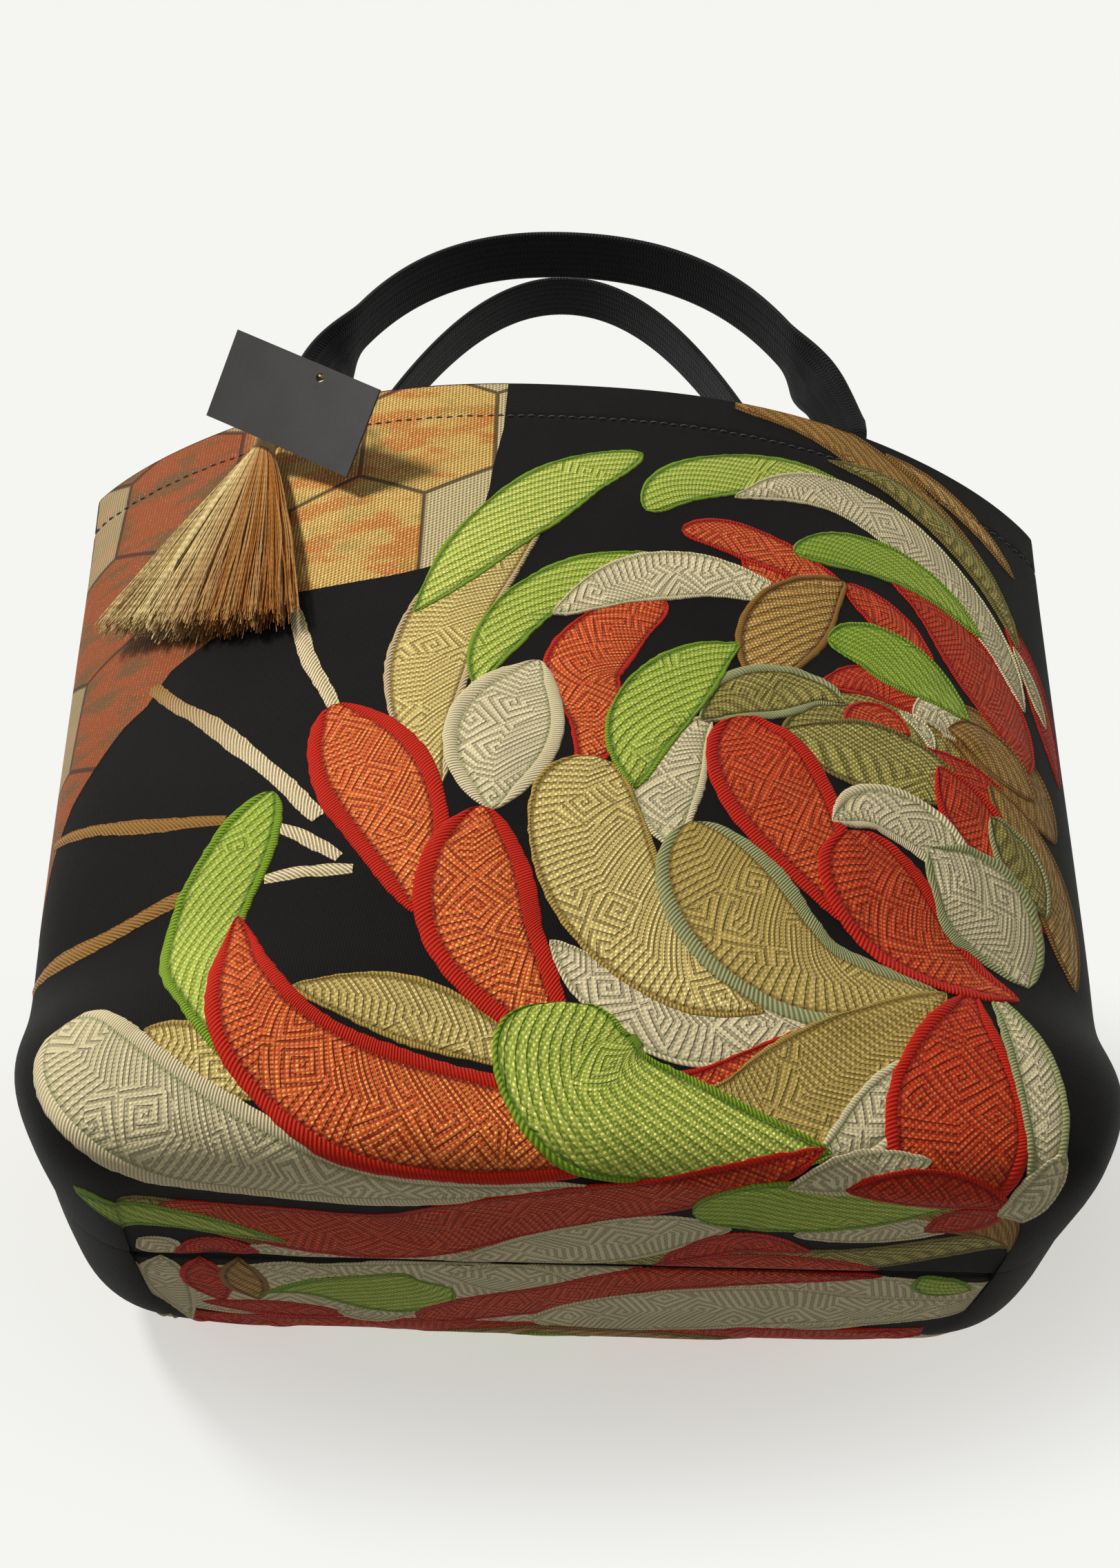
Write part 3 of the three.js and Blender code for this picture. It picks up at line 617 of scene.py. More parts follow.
class Finish:
    """A material or the world, and the nodes that it is made of."""

    def __init__(self, name, kind="materials"):
        self.block = getattr(bpy.data, kind).new(name)
        self.block.use_nodes = True
        self.tree = self.block.node_tree
        self.tree.nodes.clear()

    def node(self, kind, settings=None, sockets=None, output=0):
        """Adds a node, its settings first, and gives one of its outputs."""
        made = self.tree.nodes.new(kind)
        for name, value in (settings or {}).items():
            setattr(made, name, value)
        for name, value in (sockets or {}).items():
            if isinstance(value, Value):
                self.tree.links.new(value.socket, made.inputs[name])
            else:
                made.inputs[name].default_value = value
        return Value(self, made.outputs[output]) if len(made.outputs) else None

    def mix(self, factor, first, second):
        """From the first colour to the second as the factor goes from 0 to 1."""
        shades = {0: factor, 6: opaque(first), 7: opaque(second)}
        return self.node("ShaderNodeMix", {"data_type": "RGBA"}, shades, output=2)

    def parts(self, vector):
        """The first two parts of a vector."""
        first = self.node("ShaderNodeSeparateXYZ", None, {0: vector})
        return first, first.output(1)

    def thread(self):
        return self.parts(self.node("ShaderNodeUVMap", {"uv_map": "thread"}))

    def vector(self, x, y, z=0.0):
        return self.node("ShaderNodeCombineXYZ", None, {0: x, 1: y, 2: z})

    def place(self):
        return self.node("ShaderNodeTexCoord", None, None, "Object")

    def mark(self, name):
        """A number that the mesh carries at its points."""
        return self.node("ShaderNodeAttribute", {"attribute_name": name}, None, "Fac")

    def noise(self, vector, size, detail=2.0, rough=0.5):
        """Clouds about one size across, in the vector's own unit."""
        return self.node("ShaderNodeTexNoise", None, {
            "Vector": vector, "Scale": 1 / size, "Detail": detail, "Roughness": rough}, 0)

    def bump(self, height, depth):
        """A normal from a height of 0 to 1 that stands for a depth in millimetres."""
        return self.node("ShaderNodeBump", None, {
            "Strength": 1.0, "Distance": depth / 1000, "Height": height}, "Normal")

    def surface(self, **sockets):
        names = {name.replace("_", " ").title().replace("Ior", "IOR"): opaque(value)
                 for name, value in sockets.items()}
        shader = self.node("ShaderNodeBsdfPrincipled", None, names)
        self.node("ShaderNodeOutputMaterial", None, {"Surface": shader})
        return self.block


def darker(shade, share):
    return tuple(part * share for part in shade)


def petal_finish(name, shade, look, cloth):
    """Raised figure weave: a key fret and plain lines in rows of thread, flecked with bright thread."""
    turned, fleck_shade, seam, groove, fret_share, (chevron, steep, flat), fleck_share = look
    finish = Finish(name)
    across, along = finish.thread()
    tint = finish.mark("tint")
    cell, pitch = cloth.fret_cell * 1000, cloth.fret_pitch * 1000
    hatch, thread = cloth.hatch_pitch * 1000, cloth.thread_pitch * 1000
    place = finish.vector(across, along)
    rise = (across + along) * math.sqrt(0.5)
    fall = (along - across) * math.sqrt(0.5)
    u, v = rise * (1 / cell), fall * (1 / cell)
    x, y = u % 1.0 - 0.5, v % 1.0 - 0.5
    flip = 1 - 2 * ((u.floor() + v.floor()) % 2.0)
    spiral = abs(x).most(abs(y)) * (cell / pitch) + y.turn_with(x) * flip * (1 / (2 * math.pi))
    slant = (abs(across) * chevron + across * steep + along * flat).wave(hatch * math.sqrt(2))
    middle = 0.5 + (0.5 - fret_share) * 0.5
    where = finish.noise(place, cell * 1.3, 0.0).step(middle - 0.01, middle + 0.01)
    line = spiral.wave(1.0) * where + slant * (1 - where)
    grain = finish.noise(place, 0.5, 2.0)
    ridge = (line + grain * 0.4).step(0.3, 0.8)
    dots = rise.wave(thread * 1.6) * fall.wave(thread * 1.6)
    sparkle = finish.noise(place, 2.6, 2.0).step(0.36, 0.6)
    fleck = (dots + grain * 0.6).step(0.36, 0.66) * (0.5 + ridge * 0.5) * (0.2 + tint * 0.8) * (
        0.5 + sparkle * 0.5) * fleck_share
    cloud = finish.noise(place, 15.0, 3.0).step(0.3, 0.7)
    body = finish.mix(tint * 0.75, finish.mix(cloud, darker(shade, 0.84), shade), rgb(*turned))
    woven = finish.mix(ridge * 0.62 + dots * 0.45 + grain * 0.25, darker(shade, groove), body)
    flecked = finish.mix(fleck, woven, rgb(*fleck_shade))
    # A band along the body's edges takes the seam shade: real pale green on the white petals, painted shade
    # beside the raised edge on the others
    base = finish.mix(finish.mark("margin").step(1.5, 0.4) * 0.8, flecked, rgb(*seam))
    height = ridge * 0.5 + dots * 0.28 + grain * 0.22
    return finish.surface(
        base_color=base, roughness=0.6 - fleck * 0.25, metallic=fleck * 0.25,
        normal=finish.bump(height, 0.85), sheen_weight=0.02, sheen_roughness=0.5, specular_ior_level=0.12)


def edge_finish(name, shade):
    """Corded edge of a petal: floss laid side by side across the edge."""
    finish = Finish(name)
    across, along = finish.thread()
    floss = (along + across * 0.4).wave(0.95)
    grain = finish.noise(finish.vector(across * 3, along), 0.5, 2.0)
    base = finish.mix(floss.step(0.05, 0.5) * 0.7 + grain * 0.3, darker(shade, 0.38), shade)
    wear = finish.noise(finish.vector(across, along), 7.0, 2.0).step(0.45, 0.7)
    worn = finish.mix(wear * 0.35, base, darker(shade, 0.72))
    return finish.surface(
        base_color=worn, roughness=0.55, normal=finish.bump(floss * 0.6 + grain * 0.4, 0.45),
        sheen_weight=0.04, sheen_roughness=0.4, specular_ior_level=0.12)


def ground_finish(cloth):
    """Black satin between the figures, with fine ribs and a little lint."""
    finish = Finish("ground_satin")
    p, s = finish.thread()
    place = finish.vector(p, s)
    rib = s.wave(0.55)
    warp = (p + s * 0.3).wave(0.8)
    grain = finish.noise(place, 0.5, 3.0)
    cloud = finish.noise(place, 28.0, 4.0, 0.6)
    ground = tuple(cloth.ground)
    base = finish.mix(cloud.step(0.3, 0.75), darker(ground, 0.75), darker(ground, 1.4))
    ribbed = finish.mix(rib * 0.5 + grain * 0.5, darker(ground, 0.6), base)
    lint = finish.noise(finish.vector(p, s * 1.5), 0.9, 1.0).step(0.72, 0.8) * 0.15
    base = finish.mix(lint, ribbed, rgb(82, 77, 72))
    return finish.surface(
        base_color=base, roughness=0.6 + grain * 0.14,
        normal=finish.bump(rib * 0.4 + warp * 0.3 + grain * 0.5, 0.16),
        sheen_weight=0.01, sheen_roughness=0.35, specular_ior_level=0.08)


def hexagon_finish(cloth):
    """Tortoiseshell cells in gold and rust, each edged with a thin dark line."""
    finish = Finish("tortoiseshell_gold")
    p, s = finish.thread()
    width, upright, slope = cloth.hexagon_width * 1000, 41, 12
    row, tall = upright + slope, upright / 2 + slope
    corner_p, corner_s = -50, 296
    across, up = p - corner_p, s - corner_s - tall

    def cell(shift_x, shift_y):
        """How far a place is from its cell's middle, and the cell's number in half steps."""
        u, v = (across + shift_x) * (1 / width), (up + shift_y) * (0.5 / row)
        x, y = abs(u % 1.0 - 0.5) * width, abs(v % 1.0 - 0.5) * (2 * row)
        reach = (x * (2 / width)).most((y + x * (2 * slope / width)) * (1 / tall))
        return reach, u.floor() * 2 + (1 - 2 * shift_x / width)

    even, even_number = cell(width / 2, row)
    odd, odd_number = cell(0, 0)
    near = even < odd
    number = even_number * near + odd_number * (1 - near)
    line = even.least(odd).step(0.955, 0.985)
    pale = (abs(number % 4.0 - 1) < 0.5).most(abs(number % 8.0 - 2) < 0.5)
    place = finish.vector(p, s)
    bands = finish.noise(finish.vector(p * 0.4, s), 9.0, 3.0).step(0.45, 0.6)
    moss = finish.noise(finish.vector(p * 0.5, s + 40), 8.0, 3.0).step(0.5, 0.68) * 0.55
    gold = finish.mix(bands, tuple(cloth.hexagon), tuple(cloth.hexagon_rust))
    gold = finish.mix(moss, gold, rgb(168, 152, 74))
    side = finish.mix(bands, tuple(cloth.hexagon_shaded_side), rgb(98, 66, 30))
    # Towards the side seam the cells turn brown, with fewer pale cells and fewer glints: painted shade of the
    # side turning away from the light
    shaded_side = p.step(-104, -118)
    base = finish.mix(shaded_side, gold, side)
    base = finish.mix(pale * (1 - shaded_side * 0.45), base, tuple(cloth.hexagon_pale))
    dots = p.wave(1.15) * 0.5 + (s - p * 0.5).wave(1.3) * 0.5
    grain = finish.noise(place, 0.6, 2.0)
    woven = finish.mix(dots.step(0.15, 0.7) * 0.65 + grain * 0.35, rgb(104, 62, 24), base)
    glint = (finish.noise(place, 1.0, 1.0).step(0.5, 0.62) + 0.3) * dots.step(0.4, 0.9) * 0.6 * (1 - line)
    bright = finish.mix(glint * (1 - shaded_side * 0.85), woven, tuple(cloth.glint))
    lined = finish.mix(line * 0.85, bright, rgb(52, 30, 16))
    return finish.surface(
        base_color=lined, roughness=0.58 - glint * 0.25, metallic=glint * 0.3,
        normal=finish.bump(dots * 0.5 + grain * 0.3 - line * 0.6, 0.3), specular_ior_level=0.15)


def stem_finish(cloth):
    """Gold cord laid on the cloth."""
    finish = Finish("gold_cord_stem")
    across, along = finish.thread()
    twist = (along + across * 1.2).wave(1.5)
    grain = finish.noise(finish.vector(across, along), 0.6, 2.0)
    # The tint runs from bronze to pale cream: painted light, pale where a stem lies in the light and dull
    # bronze where it lies in shade towards the side
    main = finish.mix(finish.mark("tint"), tuple(cloth.bronze), rgb(255, 238, 190))
    base = finish.mix(twist * 0.8 + grain * 0.4, darker(tuple(cloth.bronze), 0.45), main)
    glint = grain.step(0.55, 0.7) * 0.5
    return finish.surface(
        base_color=base, roughness=0.5 - glint * 0.2, metallic=glint * 0.3,
        normal=finish.bump(twist * 0.7 + grain * 0.3, 0.4), specular_ior_level=0.2)


def lining_finish(trim):
    finish = Finish("lining_weave")
    p, s = finish.thread()
    pitch = trim.weave_pitch * 1000
    weave = p.wave(pitch) * 0.5 + s.wave(pitch) * 0.5
    grain = finish.noise(finish.vector(p, s), 0.7, 3.0)
    cloud = finish.noise(finish.vector(p, s), 24.0, 3.0)
    shade = tuple(trim.lining)
    base = finish.mix(cloud.step(0.3, 0.7), darker(shade, 0.8), darker(shade, 1.15))
    woven = finish.mix(weave * 0.6 + grain * 0.4, darker(shade, 0.45), base)
    return finish.surface(
        base_color=woven, roughness=0.85, normal=finish.bump(weave * 0.7 + grain * 0.3, 0.12),
        sheen_weight=0.02, specular_ior_level=0.1)


def webbing_finish(trim):
    """Black webbing: ribs across it, in rows that slant a little, and a firm edge."""
    finish = Finish("ribbed_webbing")
    across, along = finish.thread()
    pitch = trim.rib_pitch * 1000
    row_width = 2.6
    row = (across * (1 / row_width)).floor()
    lean = 1 - 2 * (row % 2.0)
    rib = (along + across * lean * 0.35).wave(pitch)
    rows = across.wave(row_width)
    grain = finish.noise(finish.vector(across, along), 0.5, 3.0)
    edge = abs(across).step(WEBBING_WIDTH / 2 - 1.4, WEBBING_WIDTH / 2 - 0.3)
    shade = tuple(trim.webbing)
    base = finish.mix(rib * 0.6 + grain * 0.4, darker(shade, 0.5), darker(shade, 1.6))
    worn = finish.mix(edge * 0.5 * grain, base, rgb(48, 46, 45))
    height = rib * 0.6 + rows * 0.2 + grain * 0.2
    return finish.surface(
        base_color=worn, roughness=0.6, normal=finish.bump(height, 0.5),
        sheen_weight=0.02, sheen_roughness=0.4, specular_ior_level=0.12)


def silk_finish(name, cream, amber, twist_pitch):
    """Silky thread, cream to amber by its tint, twisted where it is a cord."""
    finish = Finish(name)
    along, around = finish.thread()
    streak = finish.noise(finish.vector(along * 0.12, around * 2), 0.5, 2.0)
    twist = (along * (1 / twist_pitch) + around * 2).wave(1.0)
    shade = finish.mix(finish.mark("tint"), cream, amber)
    base = finish.mix(twist * 0.4 + streak * 0.9, darker(amber, 0.55), shade)
    return finish.surface(
        base_color=base, roughness=0.42, normal=finish.bump(twist * 0.6 + streak * 0.4, 0.08),
        sheen_weight=0.02, sheen_roughness=0.3, specular_ior_level=0.2)


def thread_finish(trim):
    finish = Finish("sewing_thread")
    along, around = finish.thread()
    twist = (along + around).wave(0.5)
    shade = tuple(trim.stitch)
    base = finish.mix(twist, darker(shade, 0.5), darker(shade, 1.6))
    return finish.surface(base_color=base, roughness=0.5, normal=finish.bump(twist, 0.06))


def card_finish(trim):
    """Uncoated card: long fibres and faint mottling."""
    finish = Finish("uncoated_card")
    place = finish.place()
    fibre = finish.noise(finish.node(
        "ShaderNodeMapping", None, {"Vector": place, "Scale": (1.0, 1.0, 0.25)}), 0.0007, 4.0, 0.6)
    mottle = finish.noise(place, 0.012, 3.0)
    shade = tuple(trim.card)
    base = finish.mix(mottle.step(0.3, 0.7), darker(shade, 0.86), darker(shade, 1.08))
    grainy = finish.mix(fibre.step(0.55, 0.75) * 0.3, base, darker(shade, 1.7))
    return finish.surface(base_color=grainy, roughness=0.68 + fibre * 0.15, normal=finish.bump(fibre, 0.05))


def plate_finish(trim):
    finish = Finish("satin_plate")
    place = finish.place()
    brush = finish.noise(finish.node(
        "ShaderNodeMapping", None, {"Vector": place, "Scale": (1.0, 1.0, 14.0)}), 0.004, 3.0)
    wear = finish.noise(place, 0.003, 3.0).step(0.5, 0.75)
    shade = tuple(trim.snap)
    base = finish.mix(wear, shade, darker(shade, 0.7))
    return finish.surface(
        base_color=base, metallic=1.0, roughness=0.26 + brush * 0.18, normal=finish.bump(brush, 0.02))


def board_finish(trim):
    finish = Finish("grey_board")
    place = finish.place()
    fibre = finish.noise(finish.node(
        "ShaderNodeMapping", None, {"Vector": place, "Scale": (0.3, 1.0, 1.0)}), 0.0009, 4.0, 0.6)
    mottle = finish.noise(place, 0.008, 3.0)
    shade = tuple(trim.board)
    base = finish.mix(mottle.step(0.3, 0.7), darker(shade, 0.85), darker(shade, 1.05))
    grainy = finish.mix(fibre.step(0.5, 0.7) * 0.4, base, darker(shade, 0.65))
    return finish.surface(base_color=grainy, roughness=0.9, normal=finish.bump(fibre, 0.08))


# Figures on the cloth

class Relief:
    """How high the figures already stand on a panel, so that each lies on those below it."""

    def __init__(self, panel):
        self.panel = panel
        self.height = np.zeros(panel.points.shape[:2])

    def under(self, p, s):
        return self.panel.sample(self.height, p, s)

    def lay(self, p, s, lift):
        fresh = np.zeros_like(self.height)
        i = np.clip(np.rint(s / TOP * (MAP_ROWS - 1)).astype(int), 1, MAP_ROWS - 2)
        j = np.clip(np.rint(p + self.panel.wide).astype(int), 1, 2 * self.panel.wide - 1)
        np.maximum.at(fresh, (i, j), lift)
        spread = fresh.copy()
        for di in (-1, 0, 1):
            for dj in (-1, 0, 1):
                spread = np.maximum(spread, np.roll(fresh, (di, dj), (0, 1)))
        soft = sum(np.roll(spread, (di, dj), (0, 1)) for di in (-1, 0, 1) for dj in (-1, 0, 1)) / 9
        self.height = np.maximum(self.height, soft)


def smooth_line(points, count):
    """A smooth line through points, evenly spaced along its length."""
    points = np.asarray(points, float)
    ends = np.concatenate([[2 * points[0] - points[1]], points, [2 * points[-1] - points[-2]]])
    fine = []
    for k in range(len(points) - 1):
        a, b, c, d = ends[k:k + 4]
        t = np.linspace(0, 1, 24, endpoint=k == len(points) - 2)[:, None]
        fine.append(0.5 * (2 * b + (c - a) * t + (2 * a - 5 * b + 4 * c - d) * t ** 2
                           + (3 * b - a - 3 * c + d) * t ** 3))
    fine = np.concatenate(fine)
    run = run_along(fine)
    even = np.linspace(0, 1, count) if np.isscalar(count) else count
    at = even * run[-1]
    return np.stack([np.interp(at, run, fine[:, k]) for k in range(points.shape[1])], 1), run[-1]


def lay_petal(relief, body, edge, spine, width, peak=0.5, ends=(0.0, 1.0), rim=1.1, crown=0.35,
              edge_rise=0.3, tint=(0.2, 0.5), seed=0):
    """Lays one petal on the panel: a body between two corded edges, widest at its peak along the spine."""
    panel = relief.panel
    length = smooth_line(spine, 2)[1]
    rows = max(14, int(length / 1.5))
    share = 0.5 - 0.5 * np.cos(np.pi * np.linspace(0, 1, rows))
    share = 0.35 * share + 0.65 * np.linspace(0, 1, rows)
    line, length = smooth_line(spine, share)
    along = np.gradient(line, axis=0)
    along /= np.maximum(np.linalg.norm(along, axis=1, keepdims=True), 1e-9)
    beside = np.stack([-along[:, 1], along[:, 0]], 1)
    power = math.log(0.5) / math.log(peak)
    x = ends[0] + (ends[1] - ends[0]) * share
    half = np.maximum(width / 2 * np.sin(np.pi * x ** power) ** 0.7, 0.12)
    rng = np.random.default_rng(seed)
    swell = RIM_SWELL * np.sin(share * length / RIM_WAVE + rng.uniform(0, 6, (2, 1)))
    ragged = np.where(half > 2, swell + rng.uniform(-RIM_RAGGED, RIM_RAGGED, (2, rows)), 0)
    band = np.minimum(rim, 0.45 * half)
    edge_steps = np.array([0, 0.12, 0.3, 0.5, 0.7, 0.88, 1.0])
    inner = (half - band)[:, None]
    body_columns = inner * np.linspace(-1, 1, max(7, int(width / 2.5)) | 1)[None, :]
    edge_columns = [-(half + ragged[0])[:, None] + (band[:, None] + ragged[0][:, None]) * edge_steps,
                    (half + ragged[1])[:, None] - (band[:, None] + ragged[1][:, None]) * edge_steps]

    def spots(offsets):
        at = line[:, None] + beside[:, None] * offsets[..., None]
        s = np.clip(at[..., 1], 0.9, TOP - 0.6)
        limit = panel.half_at(s) - 0.5
        return np.clip(at[..., 0], -limit, limit), s

    grids = []
    p, s = spots(body_columns)
    dome = np.clip(1 - (body_columns / inner) ** 2, 0, 1) ** 0.8
    grids.append((body, p, s, body_columns, crown * dome * np.minimum(1, half / 5)[:, None], None))
    for hand, columns in zip((-1, 1), edge_columns):
        p, s = spots(columns)
        cord = edge_rise * np.sin(np.pi * edge_steps) ** 0.6 * np.minimum(1, half / 2)[:, None]
        skirt_p, skirt_s = spots(columns[:, :1] + hand * FIGURE_STAND)
        grids.append((edge, p, s, columns, cord, (skirt_p, skirt_s)))
    laid = []
    shade = tint[0] + (tint[1] - tint[0]) * share[:, None]
    for target, p, s, offsets, own, skirt in grids:
        under = relief.under(p, s)
        lift = under + FIGURE_STAND + own
        laid.append((p, s, lift))
        if skirt is not None:
            sp, ss = skirt
            p, s = np.concatenate([sp, p], 1), np.concatenate([ss, s], 1)
            lift = np.concatenate([relief.under(sp, ss) - FIGURE_TUCK, lift], 1)
            offsets = np.concatenate([offsets[:, :1], offsets], 1)
        first, last = [row[:1].copy() for row in (p, s, lift)], [row[-1:].copy() for row in (p, s, lift)]
        first[2] -= TIP_TUCK + own[:1].max()
        last[2] -= TIP_TUCK + own[-1:].max()
        p, s, lift = (np.concatenate([a, b, c]) for a, b, c in zip(first, (p, s, lift), last))
        offsets = np.concatenate([offsets[:1], offsets, offsets[-1:]])
        runs = np.concatenate([[0], share * length, [length]])[:, None] + seed * 37.0
        uv = np.stack(np.broadcast_arrays(offsets, runs), -1)
        tones = np.concatenate([shade[:1], shade, shade[-1:]])
        points = panel.place(p, s, lift)
        margin = np.maximum(np.concatenate([inner[:1], inner, inner[-1:]]) - np.abs(offsets), 0)
        upside_down = (offsets[1, 0] > offsets[1, -1]) != (panel.side > 0)
        target.add(points, uv, tones, margin, flip=not upside_down)
    for p, s, lift in laid:
        relief.lay(p, s, lift)


# Each figure: kind, points of its spine as (p, s), width, and what differs from the plain petal. Points are
# places on the cloth, or were picked in the photo and seen() finds their places. Some of the places began
# as ones that a scratch program had worked out from such picks, and were then moved by hand.
# Each stem: the points of its spine, its width, and its tint at its start and end, which is painted light:
# dull bronze where a stem lies in shade towards the side, pale cream where it is lit
STEMS = [
    ([(-90, 252), *seen(TOP_STEM), (-69, 195)], 5, (1.0, 1.0)),
    ([(-130, 221), *seen(LONG_STEM), (-71, 156)], 5.8, (0.0, 1.6)),
    ([(-165, 173), *seen(SIDE_STEM), (-98, 159)], 4.6, (0.0, 0.0)),
    ([(-82, 154), *seen(UPPER_TWIG), (-64, 142)], 4.2, (1.0, 1.0)),
    ([(-166, 125), *seen(LOW_STEM), (-131, 128), (-106, 136)], 5.4, (0.0, 0.0)),
    ([(-84, 137), *seen(LOWER_TWIG), (-60, 138)], 4.2, (1.0, 1.0)),
]
